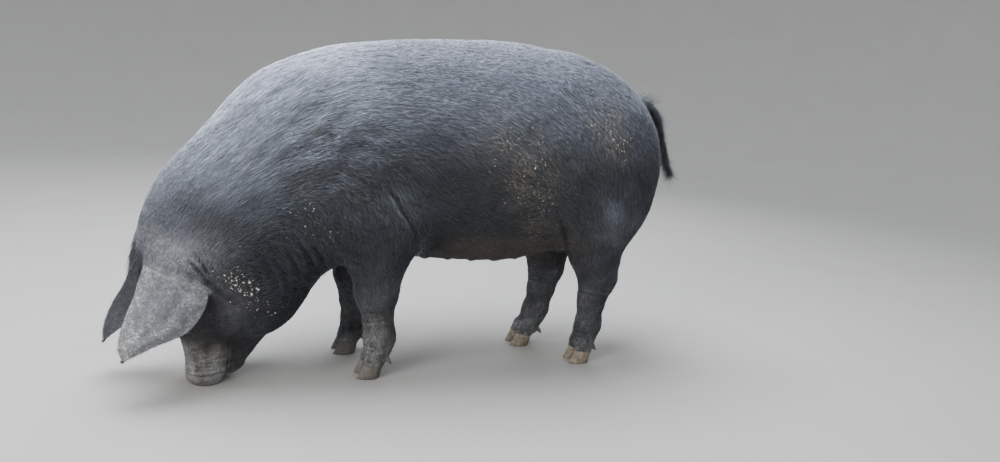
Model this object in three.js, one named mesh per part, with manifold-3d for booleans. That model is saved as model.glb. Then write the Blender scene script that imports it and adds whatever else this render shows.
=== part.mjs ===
// A full-grown, heavy, black lop-eared pig, standing with its head down and its snout on the ground.
// Millimetres, +Z up. The head is towards -X and the pig's left side towards -Y. All feet stand at z = 0.
//
// The flesh is one rounded field, the smooth union of named masses such as the ribs, hams and jowls.
// Each flesh node is the zero surface of that field, cut from its neighbours by thin gaps.
// Ears, eyes, snout disc, hooves, dewclaws and tail are solids of their own, let into the flesh.
import * as THREE from "three";
import { mergeVertices } from "three/addons/utils/BufferGeometryUtils.js";
import Module from "manifold-3d";

const wasm = await Module();
wasm.setup();

// ---- Driving dimensions -------------------------------------------------------------------------
const GAP = 0.4; // left between neighbouring nodes
const SOCKET = 0.9; // left round a solid that is let into the flesh, less along its edges
const LEFT = -1;
const RIGHT = 1;
const REACH = 2000; // longer than the pig: the size of a cutting block

const FORE_STANCE = 100; // from the middle plane to the middle of a forefoot
const HIND_STANCE = 88;
const ANKLE = 142; // height of the cut between a leg and its foot

// One of a foot's two hooves, measured at the sole; the coronet is its upper edge.
// It leans back as it rises and grows shorter by the taper up to its full height.
const HOOF = {
  long: 68,
  wide: 37,
  tall: 60,
  taper: 0.2,
  lean: 0.34,
  toeCoronet: 44,
  heelCoronet: 30,
  spread: 22,
  splay: 4,
};
const DEWCLAW = { radius: 11, height: 56, back: 28, side: 23, long: 24, splay: 8, drop: 26 };

// The snout disc lies flat on the ground. The head turns about it, towards the pig's left.
const SNOUT = { x: -408, y: -51, long: 94, wide: 118, thick: 20, nostril: 11 };
const HEAD_TURN = THREE.MathUtils.degToRad(12);
const EYE = { radius: 13, proud: 5 };
const EAR = { thick: 8, edge: 3, bulge: 20 };

// ---- The flesh: rounded masses ------------------------------------------------------------------
// Each mass is an ellipsoid or a round cone, with a blend: how softly it joins what came before it.
const smoothUnion = (a, b, blend) => {
  const mix = Math.max(blend - Math.abs(a - b), 0) / blend;
  return Math.min(a, b) - (mix * mix * blend) / 4;
};

// size holds half its length, width and height. tilt turns it about Y (head end down is positive) and
// roll about X, in degrees.
function ellipsoid({ at, size, tilt = 0, roll = 0, blend = 80 }) {
  const [aboutX, aboutY] = [roll, -tilt].map(THREE.MathUtils.degToRad);
  const turned = new THREE.Matrix4()
    .makeRotationFromEuler(new THREE.Euler(aboutX, aboutY, 0))
    .setPosition(...at)
    .invert();
  const half = new THREE.Vector3(...size);
  const square = half.clone().multiply(half);
  const local = new THREE.Vector3();
  const scaled = new THREE.Vector3();
  const distance = (p) => {
    local.copy(p).applyMatrix4(turned);
    const inward = scaled.copy(local).divide(half).length();
    const steep = scaled.copy(local).divide(square).length();
    return steep < 1e-9 ? -Math.min(...size) : (inward * (inward - 1)) / steep;
  };
  return { distance, blend };
}

// A limb runs from one joint to the next with a radius at each; flat thins it from side to side.
function limb({ from, to, radii, flat = 1, blend = 40 }) {
  const start = new THREE.Vector3(...from);
  const along = new THREE.Vector3(...to).sub(start);
  along.y /= flat;
  const length = along.length();
  const p2 = new THREE.Vector3();
  const distance = (p) => {
    p2.copy(p).sub(start);
    p2.y /= flat;
    const share = THREE.MathUtils.clamp(p2.dot(along) / length ** 2, 0, 1);
    const radius = THREE.MathUtils.lerp(radii[0], radii[1], share);
    return p2.addScaledVector(along, -share).length() - radius;
  };
  return { distance, blend };
}

const bothSides = (make) => [LEFT, RIGHT].map(make);

// The head has a frame of its own: its origin is the middle of the snout disc, on the ground.
const headFrame = new THREE.Matrix4().makeRotationZ(HEAD_TURN).setPosition(SNOUT.x, SNOUT.y, 0);
const fromHead = (x, y, z) => new THREE.Vector3(x, y, z).applyMatrix4(headFrame);
const headFrameInverse = headFrame.clone().invert();
const inHead = ({ distance, blend }) => {
  const local = new THREE.Vector3();
  return { distance: (p) => distance(local.copy(p).applyMatrix4(headFrameInverse)), blend };
};

const trunkMasses = [
  ellipsoid({ at: [376, 0, 644], size: [461, 290, 327], blend: 1 }), // barrel
  ellipsoid({ at: [108, 0, 641], size: [276, 232, 295], blend: 90 }), // ribs
  ellipsoid({ at: [641, 0, 692], size: [261, 232, 241], tilt: -16, blend: 110 }), // croup
  ...bothSides((side) =>
    ellipsoid({ at: [0, side * 150, 570], size: [140, 96, 235], tilt: -22, roll: side * 5, blend: 80 }),
  ), // shoulder blades
  ...bothSides((side) =>
    ellipsoid({ at: [700, side * 128, 590], size: [164, 116, 208], tilt: 4, blend: 120 }),
  ), // hams
  ellipsoid({ at: [-84, 0, 496], size: [140, 140, 160], tilt: -30, blend: 80 }), // brisket
];

const neckMasses = [
  limb({ from: [-70, 0, 665], to: [-320, -40, 440], radii: [243, 213], flat: 0.85, blend: 100 }),
  limb({ from: [-235, 0, 725], to: [-445, -52, 490], radii: [100, 78], flat: 0.9, blend: 90 }), // crest
  limb({ from: [-110, -5, 452], to: [-250, -40, 292], radii: [118, 92], flat: 1.1, blend: 70 }), // throat
];

const headMasses = [
  ellipsoid({ at: [-70, 0, 355], size: [100, 104, 112], tilt: -10, blend: 80 }), // skull
  limb({ from: [-58, 0, 292], to: [12, 0, 124], radii: [89, 66], flat: 1.1, blend: 60 }), // face
  limb({ from: [4, 0, 140], to: [-4, 0, 26], radii: [57, 48], flat: 1.18, blend: 34 }), // nose
  limb({ from: [108, 0, 198], to: [72, 0, 46], radii: [104, 35], flat: 0.8, blend: 50 }), // lower jaw
  limb({ from: [40, 0, 230], to: [32, 0, 60], radii: [84, 34], flat: 0.92, blend: 40 }), // muzzle
  ...bothSides((side) =>
    ellipsoid({ at: [18, side * 74, 255], size: [72, 40, 88], tilt: -14, blend: 50 }),
  ), // cheeks
  ...bothSides((side) =>
    ellipsoid({ at: [125, side * 84, 262], size: [108, 74, 128], tilt: -30, blend: 70 }),
  ), // jowls
  ...bothSides((side) =>
    ellipsoid({ at: [-104, side * 56, 300], size: [30, 32, 40], tilt: -20, blend: 36 }),
  ), // brows
].map(inHead);

// Leg joints from the body down, each with a radius: the flesh of a leg runs through them.
// room holds how far along the body the leg node reaches.
const legs = {
  fore_left: {
    side: LEFT,
    room: [-75, 150],
    joints: [
      { at: [62, -150, 480], radius: 112 }, // arm
      { at: [36, -112, 345], radius: 80 }, // elbow
      { at: [40, -103, 250], radius: 60 }, // forearm
      { at: [47, -100, 178], radius: 42 }, // knee
      { at: [56, -100, 110], radius: 43 }, // cannon
      { at: [48, -100, 68], radius: 41 }, // fetlock
    ],
    foot: { x: 22, y: -FORE_STANCE },
  },
  fore_right: {
    side: RIGHT,
    room: [-105, 120],
    joints: [
      { at: [40, 150, 480], radius: 112 },
      { at: [14, 112, 345], radius: 80 },
      { at: [12, 103, 250], radius: 58 },
      { at: [15, 100, 180], radius: 42 },
      { at: [24, 100, 110], radius: 42 },
      { at: [14, 100, 68], radius: 41 },
    ],
    foot: { x: -12, y: FORE_STANCE },
  },
  hind_left: {
    side: LEFT,
    room: [570, 900],
    joints: [
      { at: [694, -132, 510], radius: 136 }, // thigh
      { at: [720, -106, 350], radius: 76 }, // gaskin
      { at: [742, -94, 276], radius: 60 }, // hock
      { at: [733, -88, 200], radius: 42 }, // cannon
      { at: [731, -88, 120], radius: 40 },
      { at: [716, -88, 68], radius: 42 }, // fetlock
    ],
    foot: { x: 698, y: -HIND_STANCE },
  },
  hind_right: {
    side: RIGHT,
    room: [530, 870],
    joints: [
      { at: [650, 132, 500], radius: 145 },
      { at: [648, 104, 350], radius: 82 },
      { at: [650, 92, 262], radius: 58 },
      { at: [637, 88, 190], radius: 43 },
      { at: [624, 88, 118], radius: 41 },
      { at: [602, 88, 68], radius: 42 },
    ],
    foot: { x: 566, y: HIND_STANCE },
  },
};

const hoovesOf = ({ foot }) =>
  bothSides((side) => ({ x: foot.x, y: foot.y + side * HOOF.spread, splay: side * HOOF.splay }));

const legMasses = Object.values(legs).flatMap((leg) => [
  ...leg.joints.slice(1).map((joint, i) =>
    limb({
      from: leg.joints[i].at,
      to: joint.at,
      radii: [leg.joints[i].radius, joint.radius],
      flat: i < 3 ? 1 : 0.9,
      blend: i ? 26 : 50,
    }),
  ),
  ...hoovesOf(leg).map((hoof) =>
    ellipsoid({ at: [hoof.x + 14, hoof.y, 50], size: [30, 18, 38], tilt: -12, blend: 16 }),
  ), // toes
]);

const masses = [...trunkMasses, ...neckMasses, ...headMasses, ...legMasses];

const field = (p) => masses.reduce((sofar, mass) => smoothUnion(sofar, mass.distance(p), mass.blend), 1e4);

// ---- From the field to a mesh -------------------------------------------------------------------
const CELL_CORNERS = [0, 1, 2, 3, 4, 5, 6, 7].map((n) => [n >> 2, (n >> 1) & 1, n & 1]);
const CELL_EDGES = CELL_CORNERS.flatMap((from) =>
  [0, 1, 2].filter((axis) => !from[axis]).map((axis) => [from, from.map((v, i) => (i === axis ? 1 : v))]),
);

// One vertex in each grid cell that the surface crosses, moved onto the surface, and one quad round
// each crossed grid edge. The grid's outermost points count as outside, so the mesh is always closed.
function skinMesh(low, high, cell) {
  const count = low.map((v, i) => Math.ceil((high[i] - v) / cell[i]) + 1);
  const index = (i, j, k) => (i * count[1] + j) * count[2] + k;
  const point = (i, j, k) =>
    new THREE.Vector3(low[0] + i * cell[0], low[1] + j * cell[1], low[2] + k * cell[2]);
  const isEdge = (ijk) => ijk.some((v, axis) => v === 0 || v === count[axis] - 1);
  const value = new Float64Array(count[0] * count[1] * count[2]);
  eachPoint(count, (ijk) => {
    const distance = field(point(...ijk));
    value[index(...ijk)] = isEdge(ijk) ? Math.max(distance, 1) : distance;
  });

  const vertices = [];
  const vertexOf = new Map();
  const cellCount = count.map((n) => n - 1);
  eachPoint(cellCount, (ijk) => {
    const sum = new THREE.Vector3();
    let crossed = 0;
    for (const [from, to] of CELL_EDGES) {
      const a = ijk.map((v, axis) => v + from[axis]);
      const b = ijk.map((v, axis) => v + to[axis]);
      const va = value[index(...a)];
      const vb = value[index(...b)];
      if (va < 0 === vb < 0) continue;
      sum.add(point(...a).lerp(point(...b), va / (va - vb)));
      crossed++;
    }
    if (!crossed) return;
    const inner = ijk.every((v, axis) => v > 0 && v < cellCount[axis] - 1);
    const vertex = sum.divideScalar(crossed);
    vertexOf.set(index(...ijk), vertices.length);
    vertices.push(inner ? ontoSurface(vertex, Math.min(...cell) / 2) : vertex);
  });

  const triangles = [];
  eachPoint(count, (ijk) => {
    for (let axis = 0; axis < 3; axis++) {
      const next = ijk.map((v, i) => v + (i === axis ? 1 : 0));
      if (next[axis] >= count[axis]) continue;
      const inside = value[index(...ijk)] < 0;
      if (inside === value[index(...next)] < 0) continue;
      const u = (axis + 1) % 3;
      const v = (axis + 2) % 3;
      const round = [[0, 0], [-1, 0], [-1, -1], [0, -1]].map(([du, dv]) => {
        const corner = [...ijk];
        corner[u] += du;
        corner[v] += dv;
        return vertexOf.get(index(...corner));
      });
      addQuad(triangles, vertices, inside ? round : round.reverse());
    }
  });
  return { vertices, triangles };
}

function eachPoint(count, visit) {
  for (let i = 0; i < count[0]; i++)
    for (let j = 0; j < count[1]; j++) for (let k = 0; k < count[2]; k++) visit([i, j, k]);
}

function slopeAt(p) {
  const step = 0.5;
  const here = field(p);
  return new THREE.Vector3(
    field(p.clone().setX(p.x + step)) - here,
    field(p.clone().setY(p.y + step)) - here,
    field(p.clone().setZ(p.z + step)) - here,
  ).divideScalar(step);
}

// Moves a point along the field's slope until it lies on the surface, by at most the given distance.
function ontoSurface(start, most) {
  const p = start.clone();
  for (let round = 0; round < 3; round++) {
    const slope = slopeAt(p);
    p.addScaledVector(slope, -field(p) / Math.max(slope.lengthSq(), 0.1));
  }
  const move = p.sub(start).clampLength(0, most);
  return start.add(move);
}

// Splits a quad along its shorter diagonal.
function addQuad(triangles, vertices, [a, b, c, d]) {
  const first = vertices[a].distanceToSquared(vertices[c]);
  const second = vertices[b].distanceToSquared(vertices[d]);
  if (first < second) triangles.push(a, b, c, a, c, d);
  else triangles.push(a, b, d, b, c, d);
}

// ---- Solids -------------------------------------------------------------------------------------
function solidOfMesh({ vertices, triangles }) {
  return new wasm.Manifold(
    new wasm.Mesh({
      numProp: 3,
      vertProperties: new Float32Array(vertices.flatMap((v) => v.toArray())),
      triVerts: new Uint32Array(triangles),
    }),
  );
}

function solidOfGeometry(geometry) {
  const bare = geometry.clone();
  bare.deleteAttribute("normal");
  bare.deleteAttribute("uv");
  const merged = mergeVertices(bare, 1e-3);
  return new wasm.Manifold(
    new wasm.Mesh({
      numProp: 3,
      vertProperties: merged.attributes.position.array,
      triVerts: new Uint32Array(merged.index.array),
    }),
  );
}

function geometryOf(solid) {
  const mesh = solid.getMesh();
  const position = new Float32Array(mesh.numVert * 3);
  for (let i = 0; i < mesh.numVert; i++)
    position.set(mesh.vertProperties.subarray(i * mesh.numProp, i * mesh.numProp + 3), i * 3);
  const geometry = new THREE.BufferGeometry()
    .setAttribute("position", new THREE.BufferAttribute(position, 3))
    .setIndex(new THREE.BufferAttribute(mesh.triVerts, 1));
  geometry.computeVertexNormals();
  return geometry;
}

// The same solid, thicker all over: every vertex moves out along the mean of its faces' directions.
function grown(solid, by = SOCKET) {
  const { vertProperties, triVerts } = solid.getMesh();
  const corners = Array.from({ length: vertProperties.length / 3 }, (_, i) =>
    new THREE.Vector3().fromArray(vertProperties, i * 3),
  );
  const outwards = corners.map(() => new THREE.Vector3());
  for (let t = 0; t < triVerts.length; t += 3) {
    const ids = [...triVerts.subarray(t, t + 3)];
    const face = new THREE.Triangle(...ids.map((id) => corners[id])).getNormal(new THREE.Vector3());
    ids.forEach((id, i) => {
      const next = corners[ids[(i + 1) % 3]].clone().sub(corners[id]);
      const last = corners[ids[(i + 2) % 3]].clone().sub(corners[id]);
      outwards[id].addScaledVector(face, next.angleTo(last));
    });
  }
  const vertices = corners.map((corner, i) => corner.addScaledVector(outwards[i].normalize(), by));
  return solidOfMesh({ vertices, triangles: [...triVerts] });
}

// A closed solid through rings of points, each ring with the same number of them, with flat ends.
function loft(rings) {
  const around = rings[0].length;
  const vertices = rings.flat();
  const triangles = [];
  for (let r = 0; r + 1 < rings.length; r++)
    for (let i = 0; i < around; i++) {
      const j = (i + 1) % around;
      const [a, b] = [r * around + i, r * around + j];
      addQuad(triangles, vertices, [a, b, b + around, a + around]);
    }
  const capEnd = (first, flip) => {
    for (let i = 1; i + 1 < around; i++)
      triangles.push(first, first + (flip ? i + 1 : i), first + (flip ? i : i + 1));
  };
  capEnd(0, true);
  capEnd((rings.length - 1) * around, false);
  const solid = solidOfMesh({ vertices, triangles });
  return solid.volume() < 0 ? solidOfMesh({ vertices, triangles: triangles.reverse() }) : solid;
}

// A prism whose outline is drawn in side view, as points (x, z), between two values of y.
function sidePrism(outline, y0, y1) {
  const geometry = new THREE.ExtrudeGeometry(new THREE.Shape(outline.map((p) => new THREE.Vector2(...p))), {
    depth: y1 - y0,
    bevelEnabled: false,
  });
  geometry.rotateX(Math.PI / 2).translate(0, y1, 0);
  return solidOfGeometry(geometry);
}

// A prism whose outline is drawn in end view, as points (y, z), between two values of x.
function endPrism(outline, x0, x1) {
  const geometry = new THREE.ExtrudeGeometry(new THREE.Shape(outline.map((p) => new THREE.Vector2(...p))), {
    depth: x1 - x0,
    bevelEnabled: false,
  });
  geometry.rotateX(Math.PI / 2).rotateZ(Math.PI / 2).translate(x0, 0, 0);
  return solidOfGeometry(geometry);
}

// A block that fills the pig's width on one side of a line in side view, through two points (x, z).
// It lies to the left of the way from the first point to the second.
function blockBeside([x0, z0], [x1, z1], shift) {
  const along = new THREE.Vector2(x1 - x0, z1 - z0).normalize();
  const left = new THREE.Vector2(-along.y, along.x);
  const corner = (a, b) =>
    new THREE.Vector2(x0, z0).addScaledVector(along, a).addScaledVector(left, b + shift).toArray();
  const outline = [corner(-REACH, 0), corner(REACH, 0), corner(REACH, REACH), corner(-REACH, REACH)];
  return sidePrism(outline, -REACH, REACH);
}

// ---- Cuts between the flesh nodes ---------------------------------------------------------------
// Each line runs in side view from its lower to its upper point.
const lines = {
  poll: [[-215, 120], [-520, 560]], // head and neck
  withers: [[-130, 250], [-190, 950]], // neck and forequarters
  loin: [[240, 250], [240, 950]], // forequarters and barrel
  flank: [[515, 250], [515, 950]], // barrel and hindquarters
};
const ahead = ([low, high]) => blockBeside(low, high, GAP / 2);
const behind = ([low, high]) => blockBeside(high, low, GAP / 2);
const above = (z) => blockBeside([0, z], [1, z], GAP / 2);
const below = (z) => blockBeside([1, z], [0, z], GAP / 2);

// The space a leg takes from the trunk: its room along the body, below a plane that rises outwards
// from the groin.
const GROIN = { side: 12, height: 322, rise: 0.62 };
function legRoom({ side, room }, grow = 0) {
  const inner = side * (GROIN.side - grow);
  const outer = side * REACH;
  const top = GROIN.height + grow * 1.2;
  const outline = [[inner, -REACH], [outer, -REACH], [outer, top + GROIN.rise * REACH], [inner, top]];
  return endPrism(side > 0 ? outline : outline.reverse(), room[0] - grow, room[1] + grow);
}

// The lower jaw, below the mouth: its outline in side view in the head's frame.
function jawRoom(grow = 0) {
  const outline = [[47 - grow, -60], [48 - grow, 96], [36 - grow, 150 + grow * 2], [290 + grow * 2, -60]];
  return sidePrism(outline.reverse(), -REACH, REACH).transform(headFrame.elements);
}

const cutFrom = (solid, tools) => tools.reduce((rest, tool) => rest.subtract(tool), solid);
const largest = (solid) => solid.decompose().reduce((a, b) => (a.volume() > b.volume() ? a : b));

// ---- Eyes, ears and snout -----------------------------------------------------------------------
// Where a ray from inside the flesh comes out.
function outOfFlesh(from, direction) {
  const p = from.clone();
  for (let round = 0; round < 200 && field(p) < 0; round++) p.addScaledVector(direction, 1);
  return p;
}

function eyeSpot(side) {
  const from = fromHead(-60, side * 30, 272);
  const direction = fromHead(-80, side * 80, 272).sub(from).normalize();
  return outOfFlesh(from, direction).addScaledVector(direction, EYE.proud - EYE.radius);
}

function eye(side) {
  const ball = new THREE.SphereGeometry(EYE.radius, 9, 6);
  ball.translate(...eyeSpot(side).toArray());
  return solidOfGeometry(ball);
}

// An ear is a thin leaf between its front and rear edges, from its root in the head to its tip.
// Points are those of the left ear in the head's frame, with y measured outwards; drop is how much
// further down and forward the tip hangs.
const EAR_FRONT = [
  [-118, 30, 350],
  [-150, 58, 350],
  [-184, 80, 268],
  [-204, 94, 222],
  [-221, 116, 160],
  [-216, 134, 134],
];
const EAR_REAR = [
  [-56, 62, 318],
  [-24, 108, 298],
  [-30, 146, 260],
  [-71, 154, 198],
  [-150, 149, 164],
  [-213, 137, 132],
];
const EAR_ROWS = 9;
function ear(side, drop) {
  const edge = (points) => new THREE.CatmullRomCurve3(points.map((p) => new THREE.Vector3(...p)));
  const front = edge(EAR_FRONT);
  const rear = edge(EAR_REAR);
  const middle = (share) => front.getPoint(share).lerp(rear.getPoint(share), 0.5);
  const rings = [];
  for (let row = 0; row <= EAR_ROWS; row++) {
    const share = row / EAR_ROWS;
    const sag = share * share * drop;
    const along = middle(Math.min(share + 0.05, 1)).sub(middle(Math.max(share - 0.05, 0)));
    const width = rear.getPoint(share).sub(front.getPoint(share));
    const outwards = width.cross(along).normalize();
    const ring = [];
    for (const [across, layer] of EAR_RING) {
      const bulge = EAR.bulge * Math.sin(Math.PI * share ** 0.75) * (1 - across * across);
      const half = (EAR.edge + (EAR.thick - EAR.edge) * (1 - across * across) * (1 - share * 0.6)) / 2;
      const p = front
        .getPoint(share)
        .lerp(rear.getPoint(share), (across + 1) / 2)
        .addScaledVector(outwards, bulge + layer * half);
      p.x -= sag * 0.35;
      p.z -= sag;
      ring.push(fromHead(p.x, side * p.y, p.z));
    }
    rings.push(ring);
  }
  return loft(rings);
}
const EAR_ACROSS = [-0.94, -0.35, 0.35, 0.94];
const EAR_RING = [
  [-1, 0],
  ...EAR_ACROSS.map((across) => [across, 1]),
  [1, 0],
  ...[...EAR_ACROSS].reverse().map((across) => [across, -1]),
];

// The disc and its two nostrils, lying on the ground.
function snoutDisc() {
  const bevel = 5;
  const shape = new THREE.Shape();
  shape.absellipse(0, 0, SNOUT.long / 2 - bevel, SNOUT.wide / 2 - bevel, 0, Math.PI * 2);
  for (const side of [LEFT, RIGHT]) {
    const nostril = new THREE.Path();
    nostril.absellipse(-2, side * 25, SNOUT.nostril, SNOUT.nostril * 0.75, 0, Math.PI * 2, true);
    shape.holes.push(nostril);
  }
  const disc = new THREE.ExtrudeGeometry(shape, {
    depth: SNOUT.thick - 2 * bevel,
    bevelSize: bevel,
    bevelThickness: bevel,
    bevelSegments: 1,
    curveSegments: 4,
  });
  disc.translate(0, 0, bevel).applyMatrix4(headFrame);
  return solidOfGeometry(disc);
}

// ---- Feet and tail ------------------------------------------------------------------------------
// The plane between the hooves of a foot and the flesh above, in side view.
const coronet = ({ foot }) => [
  [foot.x - HOOF.long / 2, HOOF.toeCoronet],
  [foot.x + HOOF.long / 2, HOOF.heelCoronet],
];
const overCoronet = (leg) => blockBeside(...coronet(leg), GAP / 2);
const underCoronet = (leg) => blockBeside(...coronet(leg).reverse(), GAP / 2);

// A hoof is narrow towards the toe and is cut off at the coronet.
function hoof({ x, y, splay }, leg) {
  const turn = THREE.MathUtils.degToRad(-splay);
  const rings = [0, 0.4 * HOOF.tall, HOOF.tall].map((z) => {
    const shrink = 1 - (HOOF.taper * z) / HOOF.tall;
    return Array.from({ length: 8 }, (_, i) => {
      const angle = ((i + 0.5) / 8) * Math.PI * 2;
      const slim = 1 - 0.11 * (1 - Math.cos(angle)) ** 2;
      const along = (Math.cos(angle) * HOOF.long * shrink) / 2 + z * HOOF.lean;
      const across = (Math.sin(angle) * HOOF.wide * slim) / 2;
      return new THREE.Vector3(
        x + along * Math.cos(turn) - across * Math.sin(turn),
        y + along * Math.sin(turn) + across * Math.cos(turn),
        z,
      );
    });
  });
  return loft(rings).intersect(underCoronet(leg));
}

// A dewclaw points down and back from behind the fetlock.
function dewclaw({ foot, joints }, side) {
  const half = new THREE.Vector3(DEWCLAW.long, side * DEWCLAW.splay, -DEWCLAW.drop).divideScalar(2);
  const middle = new THREE.Vector3(
    joints.at(-1).at[0] + DEWCLAW.back,
    foot.y + side * DEWCLAW.side,
    DEWCLAW.height,
  );
  const root = middle.clone().sub(half);
  const tip = middle.clone().add(half);
  return tube([root, tip], [DEWCLAW.radius, DEWCLAW.radius * 0.6], 2, 6);
}

// A round tube along a curve through the given points, with its radii spread evenly along it.
function tube(points, radii, steps, around) {
  const curve = new THREE.CatmullRomCurve3(points);
  const frames = curve.computeFrenetFrames(steps);
  const rings = [];
  for (let step = 0; step <= steps; step++) {
    const place = (step / steps) * (radii.length - 1);
    const i = Math.min(Math.floor(place), radii.length - 2);
    const radius = THREE.MathUtils.lerp(radii[i], radii[i + 1], place - i);
    const middle = curve.getPointAt(step / steps);
    rings.push(
      Array.from({ length: around }, (_, k) => {
        const angle = (k / around) * Math.PI * 2;
        return middle
          .clone()
          .addScaledVector(frames.normals[step], radius * Math.cos(angle))
          .addScaledVector(frames.binormals[step], radius * Math.sin(angle));
      }),
    );
  }
  return loft(rings);
}

const TAIL = [
  [820, 0, 800],
  [900, 0, 815],
  [948, -4, 770],
  [974, -10, 705],
  [994, -14, 645],
  [1018, -16, 600],
];
const TAIL_RADII = [26, 25, 20, 17, 18, 22, 21, 4]; // out to the hairs of its tuft

// ---- Nodes --------------------------------------------------------------------------------------
const COLOURS = {
  coat: 0x25272c,
  ear: 0x3a3a3e,
  snout: 0x46403b,
  eye: 0x120d0a,
  hoof_dark: 0x3c3f45,
  hoof_pale: 0x8d8272,
};
const solids = [];
const add = (name, colour, solid) => solids.push({ name, colour, solid });

const tail = tube(TAIL.map((p) => new THREE.Vector3(...p)), TAIL_RADII, 12, 8);
const trunk = cutFrom(
  solidOfMesh(skinMesh([-338, -342, 240], [1000, 342, 1040], [92, 58, 61])),
  Object.values(legs).map((leg) => legRoom(leg, GAP)),
);
add("forequarters", "coat", trunk.intersect(behind(lines.withers)).intersect(ahead(lines.loin)));
add("barrel", "coat", trunk.intersect(behind(lines.loin)).intersect(ahead(lines.flank)));
add("hindquarters", "coat", trunk.intersect(behind(lines.flank)).subtract(grown(tail)));
add("tail", "coat", tail);

const neck = solidOfMesh(skinMesh([-680, -310, 90], [60, 300, 980], [62, 52, 56]));
add("neck", "coat", neck.intersect(behind(lines.poll)).intersect(ahead(lines.withers)));

const sockets = {
  ear_left: ["ear", ear(LEFT, 0)],
  ear_right: ["ear", ear(RIGHT, 40)],
  eye_left: ["eye", eye(LEFT)],
  eye_right: ["eye", eye(RIGHT)],
};
const head = solidOfMesh(skinMesh([-690, -300, -20], [-60, 220, 640], [31, 29, 32]));
const snout = snoutDisc();
add(
  "head",
  "coat",
  cutFrom(
    head.intersect(ahead(lines.poll)).intersect(above(SNOUT.thick)),
    [jawRoom(GAP), ...Object.values(sockets).map(([, solid]) => grown(solid))],
  ),
);
add("jaw", "coat", head.intersect(ahead(lines.poll)).intersect(jawRoom()).subtract(grown(snout)));
add("snout", "snout", snout);
for (const [name, [colour, solid]] of Object.entries(sockets)) add(name, colour, solid);

for (const [name, leg] of Object.entries(legs)) {
  const [x0, x1] = leg.room;
  const low = (z) => [x0 - 40, leg.side > 0 ? 0 : -330, z];
  const high = (z) => [x1 + 40, leg.side > 0 ? 330 : 0, z];
  const upper = solidOfMesh(skinMesh(low(ANKLE - 40), high(560), [34, 30, 46]));
  add(`${name}_leg`, "coat", upper.intersect(legRoom(leg)).intersect(above(ANKLE)));

  const lower = solidOfMesh(skinMesh(low(0), high(ANKLE + 40), [24, 20, 24]));
  const claws = bothSides((side) => dewclaw(leg, side));
  const foot = lower.intersect(below(ANKLE)).intersect(overCoronet(leg));
  add(`${name}_foot`, "coat", cutFrom(foot, claws.map((claw) => grown(claw))));

  const horn = name === "fore_right" ? "hoof_dark" : "hoof_pale";
  hoovesOf(leg).forEach((spot, i) => {
    const which = i === 0 ? "near" : "far";
    add(`${name}_hoof_${which}`, horn, hoof(spot, leg));
    add(`${name}_dewclaw_${which}`, horn, claws[i]);
  });
}

const group = new THREE.Group();
for (const { name, colour, solid } of solids) {
  const material = new THREE.MeshStandardMaterial({ color: COLOURS[colour], roughness: 0.7 });
  const mesh = new THREE.Mesh(geometryOf(largest(solid)), material);
  mesh.name = name;
  group.add(mesh);
}

// The middle of the pig's bounding box goes to x = y = 0.
const middle = new THREE.Box3().setFromObject(group).getCenter(new THREE.Vector3());
for (const mesh of group.children) mesh.geometry.translate(-middle.x, -middle.y, 0);

export default group;
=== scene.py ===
"""The looks of a full-grown, heavy, black lop-eared pig, standing with its snout on the ground.

The flesh is one skin, the surface of a rounded field of named masses with its folds and wrinkles.
The coat is thin solid tufts over that skin, lying along it. Eyes, hooves and dewclaws are pieces of
their own. The pig's own frame is in millimetres, +Z up, with its head towards -X and its left side
towards -Y, as in the solids; the row frame is in metres.
"""
import math
from functools import partial

import bpy
import numpy as np
from mathutils import Matrix, Vector
from mathutils.bvhtree import BVHTree


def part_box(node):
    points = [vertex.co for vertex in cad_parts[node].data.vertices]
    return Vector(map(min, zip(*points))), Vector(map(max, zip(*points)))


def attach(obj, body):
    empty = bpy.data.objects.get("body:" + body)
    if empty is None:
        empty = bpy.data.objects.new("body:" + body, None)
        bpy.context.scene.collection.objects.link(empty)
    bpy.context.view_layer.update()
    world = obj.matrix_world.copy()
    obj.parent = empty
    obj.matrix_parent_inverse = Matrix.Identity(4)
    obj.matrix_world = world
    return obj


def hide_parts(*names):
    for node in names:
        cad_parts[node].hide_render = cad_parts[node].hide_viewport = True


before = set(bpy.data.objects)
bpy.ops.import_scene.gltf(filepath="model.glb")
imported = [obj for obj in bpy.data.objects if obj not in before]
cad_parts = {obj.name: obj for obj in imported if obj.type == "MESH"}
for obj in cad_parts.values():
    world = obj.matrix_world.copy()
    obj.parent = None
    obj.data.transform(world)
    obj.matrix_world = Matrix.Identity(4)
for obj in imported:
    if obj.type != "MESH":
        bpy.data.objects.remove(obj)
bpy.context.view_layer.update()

BODY = "root"
MM = 0.001
SEED = 11
SIDES = {"left": -1, "right": 1}
LEGS = ("fore_left", "fore_right", "hind_left", "hind_right")
FLESH_NODES = ["head", "jaw", "snout", "neck", "forequarters", "barrel", "hindquarters", "tail"]
FLESH_NODES += [f"ear_{side}" for side in SIDES]
FLESH_NODES += [f"{leg}_{part}" for leg in LEGS for part in ("leg", "foot")]

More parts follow.
